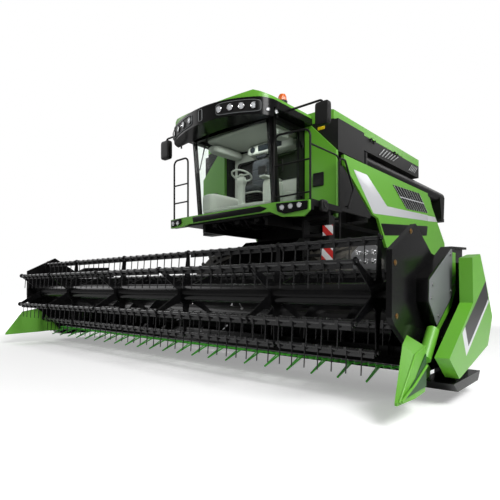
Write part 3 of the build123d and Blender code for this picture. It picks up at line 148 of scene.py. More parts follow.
def shared(tree, name, **inputs):
    """Outputs of a shared node group placed in a tree with its own values."""
    return put(tree, "Group", {"node_tree": bpy.data.node_groups[name]}, **inputs).outputs


def new_group(name, outputs, **inputs):
    """Shader node group, its inner start sockets and its end sockets. An input is a colour where its default
    is a tuple, a vector where it is None and else a number; the output Color is a colour, others numbers."""
    group = bpy.data.node_groups.new(name, "ShaderNodeTree")
    for label, value in inputs.items():
        kind = "Vector" if value is None else "Color" if isinstance(value, tuple) else "Float"
        socket = group.interface.new_socket(label.replace("_", " "), in_out="INPUT",
                                            socket_type="NodeSocket" + kind)
        if value is not None:
            socket.default_value = (*value, 1.0) if kind == "Color" else value
    for label in outputs:
        kind = "Color" if label == "Color" else "Float"
        group.interface.new_socket(label, in_out="OUTPUT", socket_type="NodeSocket" + kind)
    return group, group.nodes.new("NodeGroupInput").outputs, group.nodes.new("NodeGroupOutput").inputs


def dust_group():
    """Dust that settles on faces that look up, broken up by noise; gives colour and roughness."""
    group, start, end = new_group("settled_dust", ("Color", "Roughness"), Paint=(0.5, 0.5, 0.5),
                                  Dust=(0.3, 0.27, 0.2), Amount=0.1, Scale=3.0, Clean_Roughness=0.3)
    normal = put(group, "NewGeometry").outputs["Normal"]
    noise = put(group, "TexNoise", Vector=object_place(group), Scale=start["Scale"], Detail=6.0,
                Roughness=0.62)
    patches = ramp(group, noise.outputs["Fac"], From_Min=0.35, From_Max=0.75)
    up = ramp(group, coordinate(group, normal, "Z"), From_Min=-0.2, From_Max=1.0, To_Min=0.25, To_Max=1.0)
    share = calc(group, "MULTIPLY", calc(group, "MULTIPLY", patches, up), start["Amount"], clamp=True)
    group.links.new(blend(group, share, start["Paint"], start["Dust"]), end["Color"])
    group.links.new(ramp(group, share, To_Min=start["Clean Roughness"], To_Max=0.85), end["Roughness"])


def grain_group():
    """Fine surface height: a broad ripple and a fine grain, each with its own scale, mixed by a share."""
    group, start, end = new_group("surface_grain", ("Height",), Ripple_Scale=8.0, Grain_Scale=300.0,
                                  Grain_Share=0.3)
    ripple, grain = [put(group, "TexNoise", Vector=object_place(group), Scale=start[label],
                         Detail=detail).outputs["Fac"]
                     for label, detail in (("Ripple Scale", 2.0), ("Grain Scale", 3.0))]
    mix = put(group, "Mix", {"data_type": "FLOAT"}, Factor=start["Grain Share"], i2=ripple, i3=grain)
    group.links.new(mix.outputs[0], end["Height"])


def stripe_group():
    """Diagonal stripes of two colours in the upright plane across the machine: on where x + z is in the first
    half of each pitch."""
    group, start, end = new_group("diagonal_stripes", ("Color",), One=(0.6, 0.0, 0.0), Other=(0.8, 0.8, 0.8),
                                  Pitch=0.1)
    place = object_place(group)
    total = calc(group, "ADD", coordinate(group, place, "X"), coordinate(group, place, "Z"))
    on = calc(group, "LESS_THAN", calc(group, "FRACT", calc(group, "DIVIDE", total, start["Pitch"])), 0.5)
    group.links.new(blend(group, on, start["Other"], start["One"]), end["Color"])


def band_group():
    """Mask of a slanted rectangle on a side face: within half the length along and half the width across a
    middle point, and further out than the face's x on either side."""
    group, start, end = new_group("slanted_band", ("Mask",), Middle=None, Along=None, Across=None,
                                  Length=1.0, Width=0.1, Face=1.0)
    place = object_place(group)
    away = put(group, "VectorMath", {"operation": "SUBTRACT"}, i0=place, i1=start["Middle"]).outputs[0]
    mask = calc(group, "GREATER_THAN", calc(group, "ABSOLUTE", coordinate(group, place, "X")), start["Face"])
    for way, reach in (("Along", "Length"), ("Across", "Width")):
        dot = put(group, "VectorMath", {"operation": "DOT_PRODUCT"}, i0=away, i1=start[way]).outputs["Value"]
        half = calc(group, "MULTIPLY", start[reach], 0.5)
        mask = calc(group, "MULTIPLY", mask, calc(group, "LESS_THAN", calc(group, "ABSOLUTE", dot), half))
    group.links.new(mask, end["Mask"])


def paint_under_dust(material, colour_socket):
    """Links a colour to the paint under a finish's settled dust."""
    tree = material.node_tree
    film = next(node for node in tree.nodes if node.type == "GROUP" and node.node_tree.name == "settled_dust")
    wire(tree, film, Paint=colour_socket)


BUMP_DEPTH = 0.002


def finish(name, base, rough, dust, metallic=0.0, coat=0.0, ripple=6.0, grain=250.0, share=0.3, bump=0.02,
           **sockets):
    """Material with settled dust on a coloured base and a fine bump; other sockets are set as given."""
    material = bpy.data.materials.new(name)
    material.use_nodes = True
    tree = material.node_tree
    film = shared(tree, "settled_dust", Paint=base, Dust=bpy.context.scene.harvester_colours.dust,
                  Amount=dust, Clean_Roughness=rough)
    height = shared(tree, "surface_grain", Ripple_Scale=ripple, Grain_Scale=grain, Grain_Share=share)
    relief = put(tree, "Bump", Height=height["Height"], Strength=bump, Distance=BUMP_DEPTH)
    wire(tree, tree.nodes["Principled BSDF"], Base_Color=film["Color"], Roughness=film["Roughness"],
         Normal=relief.outputs["Normal"], Metallic=metallic, Coat_Weight=coat, **sockets)
    return material


BEACON = (0.8, -1.85, 3.95)  # middle of the beacon's foot on the roof


def amber_above(material, below, level):
    """Amber on what stands above the level, which is the beacon's cover."""
    tree = material.node_tree
    over = calc(tree, "GREATER_THAN", coordinate(tree, object_place(tree), "Z"), level)
    paint_under_dust(material, blend(tree, over, below, (0.9, 0.24, 0.01)))


def shield_bands(material, tint):
    """Silver trim with a black band over it, slanting across the outer faces of the header's shields."""
    tree, paint = material.node_tree, tint.lime
    along, across = (0, 0.868, 0.496), (0, -0.496, 0.868)
    for middle, length, width, shade in (((3.82, -2.769, 0.758), 0.946, 0.25, tint.silver),
                                         ((3.82, -2.735, 0.8), 0.846, 0.215, tint.black)):
        band = shared(tree, "slanted_band", Middle=middle, Along=along, Across=across, Length=length,
                      Width=width, Face=3.8)
        paint = blend(tree, band["Mask"], paint, shade)
    paint_under_dust(material, paint)


class HARVESTER_OT_materials(bpy.types.Operator):
    """Builds the shared node groups and every finish of the machine"""
    bl_idname = "harvester.materials"
    bl_label = "Build finishes"

    def execute(self, context):
        tint = context.scene.harvester_colours
        for build in (dust_group, grain_group, stripe_group, band_group):
            build()
        finish("lime_gloss", tint.lime, 0.36, 0.03, coat=0.12, bump=0.03, Coat_Roughness=0.12)
        finish("black_gloss", tint.black, 0.22, 0.02, coat=0.06, bump=0.03, Coat_Roughness=0.08,
               Specular_IOR_Level=0.16)
        finish("black_satin", tint.black, 0.4, 0.04, bump=0.05, Specular_IOR_Level=0.22)
        finish("black_moulded", tint.plastic, 0.48, 0.05, grain=420.0, share=0.8, bump=0.12,
               Specular_IOR_Level=0.3)
        finish("grey_satin", tint.grey, 0.4, 0.1, bump=0.04)
        finish("silver_stripe", tint.silver, 0.3, 0.03, metallic=0.25, coat=0.4)
        finish("pale_moulded", tint.pale, 0.55, 0.04, grain=500.0, share=0.8, bump=0.08)
        finish("tyre_tread", (0.018, 0.018, 0.018), 0.75, 0.45, ripple=14.0, grain=160.0, share=0.6,
               bump=0.25)
        finish("seat_cloth", (0.03, 0.034, 0.038), 0.9, 0.05, grain=700.0, share=0.9, bump=0.4)
        finish("rod_steel", (0.55, 0.55, 0.56), 0.18, 0.02, metallic=1.0)
        finish("worn_steel", (0.35, 0.35, 0.36), 0.38, 0.1, metallic=1.0)
        finish("cast_block", (0.1, 0.1, 0.1), 0.6, 0.2, metallic=0.6, bump=0.2)
        finish("bat_paint", (0.01, 0.01, 0.011), 0.26, 0.03, coat=0.4, bump=0.04)
        finish("divider_paint", tint.lime, 0.42, 0.04, coat=0.1, bump=0.03, Coat_Roughness=0.2)
        finish("amber_cover", (0.8, 0.13, 0.004), 0.12, 0.0, coat=0.8)
        # dark green of the sheet on the divider's fold: painted shade, not a paint of the machine
        finish("deep_green", (0.012, 0.075, 0.012), 0.45, 0.03, bump=0.03)
        finish("yellow_tag", (0.8, 0.55, 0.01), 0.35, 0.0)
        finish("red_lens", (0.45, 0.01, 0.008), 0.1, 0.02, coat=0.8)
        finish("guard_paint", tint.green, 0.35, 0.03, coat=0.2)
        finish("tinted_pane", (0.94, 0.98, 0.95), 0.01, 0.0, bump=0.0, Transmission_Weight=1.0, IOR=1.12)
        finish("vent_edge", (0.45, 0.46, 0.46), 0.35, 0.05, bump=0.03)
        finish("chrome_trim", (0.75, 0.75, 0.76), 0.14, 0.01, metallic=1.0)
        finish("lens_glass", (0.85, 0.87, 0.9), 0.06, 0.01, coat=1.0, bump=0.01, Transmission_Weight=0.35)
        finish("dark_screen", (0.012, 0.016, 0.02), 0.12, 0.01, coat=0.8, bump=0.01)
        finish("red_plastic", (0.55, 0.02, 0.012), 0.35, 0.02, bump=0.03)
        finish("brass_head", (0.32, 0.2, 0.08), 0.4, 0.08, metallic=1.0)
        finish("mirror_face", (0.8, 0.82, 0.84), 0.03, 0.01, metallic=1.0, bump=0.005)
        amber_above(finish("lamp_bodies", tint.black, 0.22, 0.02, coat=0.3), tint.black, BEACON[2] + 0.005)
        marker = finish("marker_face", (0.8, 0.8, 0.8), 0.35, 0.03)
        diagonal = shared(marker.node_tree, "diagonal_stripes", Pitch=context.scene.harvester_sizes.marker,
                          One=(0.62, 0.015, 0.012), Other=(0.8, 0.8, 0.8))
        paint_under_dust(marker, diagonal["Color"])
        shield = finish("shield_paint", tint.lime, 0.34, 0.03, coat=0.2, bump=0.03, Coat_Roughness=0.12)
        shield_bands(shield, tint)
        return {"FINISHED"}


def pairs(*names):
    return [f"{name}_{hand}" for name in names for hand in ("left", "right")]


NODE_FINISH = {
    "lime_gloss": ["straw_hood", "corner_panels", "cab_roof", "engine_hood", "platform_fascia",
                   *pairs("side_panel", "tank_lid")],
    "shield_paint": ["drive_shields"],
    "divider_paint": ["crop_dividers"],
    "guard_paint": ["knife_bar"],
    "black_gloss": ["roof_visor", "header_trough", "feeder_house", "reel_core", "header_drives",
                    "intake_auger"],
    "black_satin": ["separator_housing", "straw_chopper", "platform", "cab_shell", "cab_door", "ladder",
                    "handrails", "lift_barrels", "reel_arms", "unloading_auger"],
    "bat_paint": [f"reel_bat_{k}" for k in range(1, 7)],
    "black_moulded": ["engine_deck", "grain_tank", "arch_panels", "mirrors"],
    "grey_satin": ["chassis_rails", "front_axle", "rear_axle", "reel_carriers",
                   *pairs("front_rim", "rear_rim", "knuckle")],
    "pale_moulded": ["cab_controls"],
    "tyre_tread": pairs("front_tyre", "rear_tyre"),
    "seat_cloth": ["driver_seat"],
    "rod_steel": ["lift_rods", "tie_rod"],
    "cast_block": ["engine_block"],
    "lamp_bodies": ["work_lamps"],
    "tinted_pane": ["cab_glass", "door_glass"],
}


class HARVESTER_OT_nodes(bpy.types.Operator):
    """Gives every CAD piece its finish"""
    bl_idname = "harvester.nodes"
    bl_label = "Finish the CAD pieces"

    def execute(self, context):
        for name, nodes in NODE_FINISH.items():
            for node in nodes:
                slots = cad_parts[node].data.materials
                slots.clear()
                slots.append(bpy.data.materials[name])
        return {"FINISHED"}


# Computed surfaces, each given as (points, blocks of faces)

def unit(vectors):
    return vectors / np.linalg.norm(vectors, axis=-1, keepdims=True)


def turns(count):
    """Angles evenly round a circle."""
    return np.linspace(0, 2 * pi, count, endpoint=False)


def bell(value, middle, spread):
    """exp(-((value - middle) / spread)^2), which is 1 at the middle."""
    return np.exp(-((value - middle) / spread) ** 2)


def spots(x, y, z):
    """Array of points from coordinates that numpy spreads over one another."""
    return np.stack(np.broadcast_arrays(x, y, z), -1)


def sheet(grid, wrap=(False, False), caps=False):
    """Grid of points, rows by columns: each face joins a point to the next row and the next column. A wrapped
    direction joins its last line to its first, and caps close the first and last rows."""
    rows, columns = grid.shape[:2]
    i, j = np.meshgrid(np.arange(rows if wrap[0] else rows - 1),
                       np.arange(columns if wrap[1] else columns - 1), indexing="ij")
    k, m = (i + 1) % rows, (j + 1) % columns
    corners = [i * columns + j, i * columns + m, k * columns + m, k * columns + j]
    blocks = [np.stack(corners, -1).reshape(-1, 4)]
    if caps:
        blocks.append(np.arange(columns)[None])
        blocks.append(np.arange((rows - 1) * columns, rows * columns)[None])
    return grid.reshape(-1, 3), blocks


def drum(grid):
    """Sheet of rings, one a row, with both ends closed."""
    return sheet(grid, (False, True), caps=True)


def join(*shapes):
    """Several surfaces as one, each one's faces counted on from the points before it."""
    starts = np.cumsum([0] + [len(points) for points, _ in shapes])
    blocks = [block + start for (_, own), start in zip(shapes, starts) for block in own]
    return np.concatenate([points for points, _ in shapes]), blocks


def repeat(shape, moves):
    """Copies of a surface, each with one row of moves added to all its points."""
    points, blocks = shape
    moves = np.asarray(moves, float)
    starts = np.arange(len(moves))[:, None, None] * len(points)
    copies = [(block[None] + starts).reshape(-1, block.shape[1]) for block in blocks]
    return (points[None] + moves[:, None]).reshape(-1, 3), copies


def on_side(shape, side):
    """The surface as it is for side 1, and mirrored to the machine's right for side -1."""
    points, blocks = shape
    return points * (side, 1, 1), blocks


def both(*shapes):
    """The surfaces, and then each one mirrored."""
    return [*shapes, *[on_side(shape, -1) for shape in shapes]]


def rect(left, low, right, high):
    return [(left, low), (right, low), (right, high), (left, high)]


def between(a, b, share):
    """Point on the line from a to b."""
    return tuple(np.asarray(a) + (np.asarray(b) - np.asarray(a)) * share)


def strip(first, second, a, b):
    """Four corners between two edges, from share a to share b of each."""
    return [between(*first, a), between(*first, b), between(*second, b), between(*second, a)]


def eased(corners, radius, closed=True, steps=6):
    """Line whose corners p give way to the curve (1-s)^2 a + 2s(1-s) p + s^2 b, with a and b at radius from
    p."""
    corners = np.asarray(corners, float)
    middle = corners if closed else corners[1:-1]
    before = np.roll(corners, 1, 0) if closed else corners[:-2]
    after = np.roll(corners, -1, 0) if closed else corners[2:]
    a, b = middle + unit(before - middle) * radius, middle + unit(after - middle) * radius
    s = np.linspace(0, 1, steps)[:, None, None]
    curve = ((1 - s) ** 2 * a + 2 * s * (1 - s) * middle + s ** 2 * b).transpose(1, 0, 2)
    curve = curve.reshape(-1, corners.shape[1])
    return curve if closed else np.concatenate([corners[:1], curve, corners[-1:]])


def placed(flat, level, axis):
    """Points from in-plane pairs and a level along the axis across that plane."""
    first, second = flat[..., 0], flat[..., 1]
    order = {"X": (level, first, second), "Y": (first, level, second), "Z": (first, second, level)}
    return spots(*order[axis])


def inward(corners):
    """Mitre vector of each corner of a closed outline, pointing in, for an inset of 1."""
    step = np.roll(corners, -1, 0) - corners
    side = unit(np.stack([-step[:, 1], step[:, 0]], -1))
    before = np.roll(side, 1, 0)
    turn = corners[:, 0] * np.roll(corners[:, 1], -1) - corners[:, 1] * np.roll(corners[:, 0], -1)
    return (side + before) / (1 + (side * before).sum(-1, keepdims=True)) * np.sign(turn.sum())


def slab(outline, low, high, axis, edge=0.002):
    """Outline thickened from low to high; both rims turn in by edge on a quarter circle."""
    corners = np.asarray(outline, float)
    turn = np.linspace(0, pi / 2, 4)
    inset = np.concatenate([edge * (1 - np.sin(turn)), edge * (1 - np.cos(turn))])
    level = np.concatenate([low + edge * (1 - np.cos(turn)), high - edge * (1 - np.sin(turn))])
    flat = corners[None] + inward(corners)[None] * inset[:, None, None]
    return drum(placed(flat, level[:, None], axis))


def framed(outer, inner, low, high, axis):
    """Flat ring between two outlines of equal count, from low to high: four lines of points in a loop."""
    flat = np.stack([outer, outer, inner, inner])
    level = np.array([low, high, high, low])[:, None]
    return sheet(placed(flat, level, axis), (True, True))


def turned(profile, at, way, steps=28, loop=False):
    """Profile of (height, radius) turned about the line through at: at + height way + radius (cos t, sin t).
    A looped profile closes on itself instead of with caps."""
    way = unit(np.asarray(way, float))
    across = unit(np.cross(way, (0, 0, 1) if abs(way[2]) < 0.9 else (1, 0, 0)))
    height, radius = np.array(profile, float).T[:, :, None, None]
    t = turns(steps)[None, :, None]
    ring = np.cos(t) * across + np.sin(t) * np.cross(way, across)
    return sheet(np.asarray(at) + height * way + radius * ring, (loop, True), caps=not loop)


def tube(path, radius, sides=12, upright=(0, 0, 1)):
    """Round tube: the ring radius (cos t, sin t), square to the path, carried along it."""
    path = np.asarray(path, float)
    along = unit(np.gradient(path, axis=0))
    across = unit(np.cross(along, upright))
    t = turns(sides)[None, :, None]
    ring = np.cos(t) * across[:, None] + np.sin(t) * np.cross(along, across)[:, None]
    return drum(path[:, None] + radius * ring)


def pillow(middle, half, power=4.0, rows=20, columns=40):
    """Rounded box: where the sum over the axes of |distance / half| ** power is 1, by two angles."""
    a = np.linspace(-pi / 2, pi / 2, rows + 2)[1:-1, None]
    t = turns(columns)
    way = spots(np.cos(a) * np.cos(t), np.cos(a) * np.sin(t), np.sin(a))
    reach = (np.abs(way) ** power).sum(-1, keepdims=True) ** (-1 / power)
    return drum(np.asarray(middle) + np.asarray(half) * way * reach)


def post(width, y, foot, height, power, steps):
    """Upright post on the machine's middle line: at each level, by its angle, the ring whose
    |x|^power + |y / 0.9|^power is width^power."""
    t, width = turns(steps), width[:, None]
    squared = (np.abs(np.cos(t)) ** power + np.abs(np.sin(t)) ** power) ** (-1 / power)
    level = np.linspace(0, 1, len(width))[:, None]
    return drum(spots(width * squared * np.cos(t), y + width * 0.9 * squared * np.sin(t),
                      foot + height * level))


def bolts(places, way, radius=0.014):
    """Hexagon heads with a washer at each place, pointing one way."""
    washer = turned([(0, radius * 1.35), (0.002, radius * 1.35), (0.002, radius)], (0, 0, 0), way, 20)
    head = turned([(0.002, radius), (0.008, radius), (0.0095, radius * 0.85)], (0, 0, 0), way, 6)
    return repeat(join(washer, head), places)


def piece(name, body, material, *shapes, sharp=35.0):
    """One object of the surfaces, its normals outward and its sharp edges kept, riding on a body."""
    points, blocks = join(*shapes)
    mesh = bpy.data.meshes.new(name)
    mesh.from_pydata(points, [], [face for block in blocks for face in block.tolist()])
    work = bmesh.new()
    work.from_mesh(mesh)
    bmesh.ops.recalc_face_normals(work, faces=work.faces)
    work.to_mesh(mesh)
    work.free()
    mesh.shade_smooth()
    mesh.set_sharp_from_angle(angle=radians(sharp))
    mesh.materials.append(bpy.data.materials[material])
    made = bpy.data.objects.new(name, mesh)
    bpy.context.scene.collection.objects.link(made)
    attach(made, body)
    return made


def fixed(name, material, *shapes, **options):
    """A piece on the machine's own body."""
    return piece(name, "machine", material, *shapes, **options)


PANEL_X = 1.5  # outer face of the side panels
HOOD_X = 1.47  # outer face of the straw hood
TANK_X = 1.42  # side of the grain tank
DISC_X = 1.23  # outer face of all four wheel discs


def vent_lips(corners, count):
    """Leaning vent lips on the tank side, evenly spread between four corners."""
    tl, tr, br, bl = corners
    return [slab(eased(strip((tl, tr), (bl, br), (i + 0.12) / count, (i + 0.4) / count), 0.008, steps=3),
                 TANK_X, TANK_X + 0.012, "X", 0.004) for i in range(count)]


def body_ends():
    """Covers on the front corners and the tank's tag, and at the tail the hood's louvres, the chopper's fins,
    the lamps and the unloader's boot."""
    cover = slab(eased(rect(1.086, 2.865, 1.283, 2.65), 0.02), -1.42, -1.4, "Y", 0.006)
    fixed("corner_cover", "black_moulded", *both(cover))
    tag = slab(eased(rect(1.13, 3.565, 1.26, 3.615), 0.008), -1.346, -1.34, "Y")
    fixed("tank_tag", "yellow_tag", tag)
    # ends of the hood's slope, as (y, z)
    high, low = np.array((3.0, 2.9)), np.array((3.9, 2.13))
    down = unit(low - high)
    out = np.array((-down[1], down[0]))
    feet = [high + down * (0.16 + 0.105 * k) for k in range(9)]
    fixed("hood_louvres", "black_moulded",
          *[slab([foot, foot + down * 0.07, foot + down * 0.066 + out * 0.024], -0.95, 0.95, "X", 0.001)
            for foot in feet])
    fin = slab([(3.72, 1.402), (4.1, 1.402), (4.15, 1.345), (4.02, 1.3), (3.86, 1.318)],
               -0.003, 0.003, "X", 0.001)
    fixed("chopper_fins", "worn_steel",
          repeat(fin, [(x, 0, 0) for x in np.linspace(-0.7, 0.7, 13)]))
    fixed("rear_lamps", "red_lens", *both(pillow((1.24, 3.925, 1.96), (0.105, 0.022, 0.055), 6)))
    fixed("rear_markers", "amber_cover",
          *both(pillow((1.24, 3.914, 2.085), (0.105, 0.02, 0.04), 6)))
    rim, hole = rect(1.127, 3.885, 1.413, 4.075), rect(1.147, 3.915, 1.393, 4.05)
    piece("spout_boot", "unloader", "black_moulded",
          framed(eased(rim, 0.02), eased(hole, 0.02), 2.672, 2.745, "Z"))


class HARVESTER_OT_body(bpy.types.Operator):
    """Stripe, dark band, grille and vents of the body sides, and the trim of the corners and the tail"""
    bl_idname = "harvester.body"
    bl_label = "Dress the body"

    def execute(self, context):
        def raised(outline, radius, height, face=PANEL_X):
            return [slab(eased(outline, radius), face, face + height, "X")]

        # outlines as (y, z) along the side
        stripe = [(-0.845, 2.975), (-0.357, 2.982), (0.465, 2.554), (2.63, 2.657), (2.63, 2.53),
                  (-0.105, 2.346)]
        tail_stripe = [(2.662, 2.66), (3.22, 2.688), (3.34, 2.588), (2.662, 2.532)]
        band = [(0.2, 2.205), (2.62, 2.412), (2.56, 2.195), (0.36, 2.0)]
        bar = [(1.0, 2.823), (2.336, 2.884), (2.357, 2.868), (1.021, 2.807)]
        grille = tl, tr, br, bl = [(0.711, 3.003), (2.066, 3.058), (2.6, 2.7), (1.406, 2.631)]
        slats = [slab(strip((tl, bl), (tr, br), 0.03 + i * 0.09, 0.055 + i * 0.09),
                      PANEL_X + 0.004, PANEL_X + 0.016, "X") for i in range(11)]
        posts = [slab(strip((tl, tr), (bl, br), 0.01 + i * 0.108, 0.02 + i * 0.108),
                      PANEL_X + 0.003, PANEL_X + 0.02, "X") for i in range(10)]
        vents = vent_lips([(0.479, 3.642), (1.265, 3.652), (1.0, 3.512), (0.27, 3.486)], 6)
        vents += vent_lips([(1.88, 3.64), (2.26, 3.65), (2.08, 3.5), (1.7, 3.49)], 5)
        trim = [slab(bar, PANEL_X + 0.018, PANEL_X + 0.024, "X")]
        for word, side in (("left", 1), ("right", -1)):
            panel = f"panel_{word}"
            for name, body, material, shapes in (
                    ("side_stripe", panel, "silver_stripe", raised(stripe, 0.03, 0.004)),
                    ("tail_stripe", "machine", "silver_stripe", raised(tail_stripe, 0.01, 0.004, HOOD_X)),
                    ("side_band", panel, "black_satin", raised(band, 0.03, 0.006)),
                    ("grille_back", panel, "black_moulded", raised(grille, 0.04, 0.004)),
                    ("grille_bars", panel, "black_satin", slats),
                    ("grille_posts", panel, "vent_edge", posts),
                    ("grille_trim", panel, "silver_stripe", trim),
                    ("tank_vents", "machine", "vent_edge", vents)):
                piece(f"{name}_{word}", body, material, *[on_side(shape, side) for shape in shapes])
        body_ends()
        return {"FINISHED"}


def beacon_dome():
    """Dome of radius 70 mm times cos(a)^0.35 and height 106 mm times sin(a), with 24 low ribs that fade
    towards its top."""
    a = np.linspace(0, pi / 2, 20)[:-1, None]
    t = turns(144)
    radius = 0.07 * np.cos(a) ** 0.35 + 0.0012 * np.cos(24 * t) * np.cos(a)
    return drum(spots(BEACON[0] + radius * np.cos(t), BEACON[1] + radius * np.sin(t),
                      BEACON[2] + 0.012 + 0.106 * np.sin(a)))


def visor_point(x, up, out):
    """Point and outward way on the visor's arched front at x, up from its middle line, and out from it."""
    arc, front = 2.309, 2.8
    deep = np.sqrt(arc ** 2 - x ** 2)
    way = spots(x / arc, -deep / arc, 0.0)
    foot = spots(x, arc - front - deep, 3.685 - 0.07 * (x / 1.07) ** 2 + up)
    return foot + np.asarray(out)[..., None] * way, way


def pod(start, end):
    """Dark pod on the visor: 4 mm high, with a bell of 10 mm round superellipse distance 0.9 and a fall of
    up to 12 mm past 0.93."""
    s, t = np.meshgrid(np.linspace(-1, 1, 64), np.linspace(-1, 1, 32), indexing="ij")
    far = (np.abs(s) ** 6 + np.abs(t) ** 6) ** (1 / 6)
    height = 0.004 + 0.01 * bell(far, 0.9, 0.07) - 0.012 * np.clip((far - 0.93) / 0.15, 0, 1)
    return sheet(visor_point((start + end) / 2 + s * (end - start) / 2, t * 0.088, height)[0])


def pod_highlight_bead(start, end):
    """Bead round a pod, grey as a painted highlight along its edge: the superellipse of power 6 laid on the
    visor's front, as a thin tube.
    """
    t = np.linspace(0, 2 * pi, 121)
    s, up = [np.sign(f(t)) * np.abs(f(t)) ** (1 / 3) for f in (np.cos, np.sin)]
    path = visor_point((start + end) / 2 + s * (end - start) / 2, up * 0.086, 0.007)[0]
    return tube(path, 0.0055, 8, (0, 1, 0))


def lens(at, way, r, rims, glasses):
    """Round lamp of radius r: a rolled rim and a low glass dome within it."""
    rims.append(turned([(0, r), (0.01, r), (0.013, r - 0.003), (0.01, r - 0.007), (0.003, r - 0.009)],
                       at, way))
    glasses.append(turned([(0.002, r - 0.008), (0.006, r * 0.72), (0.009, r * 0.4), (0.01, 0.002)],
                          at, way))


class HARVESTER_OT_lamps(bpy.types.Operator):
    """Lamp pods in the visor, head lamps and the blank plate in the fascia, and the beacon"""
    bl_idname = "harvester.lamps"
    bl_label = "Fit the lamps"

    def execute(self, context):
        sizes = context.scene.harvester_sizes
        rims, glasses = [], []
        pods = [(0.27, 0.975), (-0.27, -0.975)]
        for side in (1, -1):
            for x in (0.33, 0.52, 0.7, 0.88):
                lens(*visor_point(side * x, 0.0, 0.013), sizes.lamp, rims, glasses)
            for at, way in (((1.03, -2.502, 3.58), (0.8, -0.6, 0)), ((1.066, -2.36, 3.575), (1, -0.15, 0))):
                lens(np.array(at) * (side, 1, 1), np.array(way) * (side, 1, 1), 0.03, rims, glasses)
        fixed("visor_pods", "black_moulded", *[pod(*ends) for ends in pods])
        fixed("corner_marker", "amber_cover",
              pillow((-1.062, -2.44, 3.685), (0.02, 0.052, 0.03), 5, 14, 28))
        # grey beads round the dark pods: painted highlight along the pods' edges
        fixed("pod_highlight_rims", "grey_satin",
              *[pod_highlight_bead(*ends) for ends in (*pods, (-0.1, -0.02))], sharp=80)
        # outlines as (x, z) on the fascia
        left_bezel = [(1.03, 2.262), (1.585, 2.238), (1.58, 2.118), (1.19, 2.092), (1.06, 2.14)]
        right_bezel = [(-1.385, 2.252), (-1.1, 2.262), (-1.09, 2.165), (-1.36, 2.13)]
        plate = [(-0.8, 2.258), (0.72, 2.262), (0.86, 2.215), (0.74, 2.174), (-0.78, 2.164)]
        face, back = -2.322, -2.305
        fixed("lamp_bezels", "black_gloss",
              *[slab(eased(outline, 0.02), face, back, "Y", 0.005) for outline in (left_bezel, right_bezel)])
        for x in (1.15, 1.3, 1.45, -1.31, -1.18):
            lens((x, face, 2.19), (0, -1, 0), sizes.head_lamp, rims, glasses)
        fixed("lamp_rims", "chrome_trim", *rims)
        fixed("lamp_lenses", "lens_glass", *glasses, sharp=60)
        fixed("fascia_plate", "black_gloss",
              slab(eased(plate, 0.012, steps=4), back - 0.007, back, "Y"))
        fixed("beacon_ribs", "amber_cover", beacon_dome(), sharp=80)
        fixed("beacon_foot", "black_moulded",
              turned([(-0.07, 0.08), (0.012, 0.08), (0.018, 0.074), (0.018, 0.06)], BEACON, (0, 0, 1)))
        return {"FINISHED"}


COLUMN_Y = -1.92  # foot of the steering column
SEAT_Y = -1.56  # middle of the seat's foot


def lining():
    """Pale rear wall round two dark-edged windows, headliner, and consoles along the ceiling and floor."""
    rear, front = -1.226, -1.211
    window = eased(rect(0.1, 2.91, 0.73, 3.39), 0.07)
    wall = framed(eased(rect(0.003, 2.33, 0.8, 3.56), 0.002), window, rear, front, "Y")
    seal = framed(window, eased(rect(0.128, 2.938, 0.702, 3.362), 0.05), rear - 0.008, front, "Y")
    fixed("cab_lining", "pale_moulded", *both(wall))
    fixed("window_seals", "black_moulded", *both(seal))
    fixed("headliner", "pale_moulded", pillow((0, -1.68, 3.597), (0.73, 0.45, 0.02), 6))
    fixed("roof_console", "pale_moulded", pillow((0.2, -1.36, 3.475), (0.5, 0.13, 0.09), 5),
          pillow((-0.66, -1.62, 3.5), (0.11, 0.36, 0.065), 5),
          pillow((0.66, -1.8, 3.5), (0.1, 0.22, 0.06), 5))
    screens = [slab(eased(rect(x, 3.425, x + 0.24, 3.525), 0.012), -1.498, -1.48, "Y") for x in (0.0, 0.27)]
    speaker = turned([(0, 0.055), (0.012, 0.055), (0.015, 0.048), (0.01, 0.04), (0.014, 0.004)],
                     (-0.13, -1.482, 3.475), (0, -1, 0))
    fixed("screens", "dark_screen", *screens, speaker)
    fixed("cab_sills", "pale_moulded", pillow((-0.66, -1.72, 2.5), (0.13, 0.4, 0.19), 6),
          pillow((0, -2.06, 2.345), (0.7, 0.12, 0.034), 6), pillow((0.0, -1.32, 2.5), (0.74, 0.09, 0.18), 6))
    fixed("cab_mat", "black_moulded",
          slab(eased(rect(-0.78, -2.1, 0.78, -1.23), 0.03), 2.3105, 2.318, "Z"))


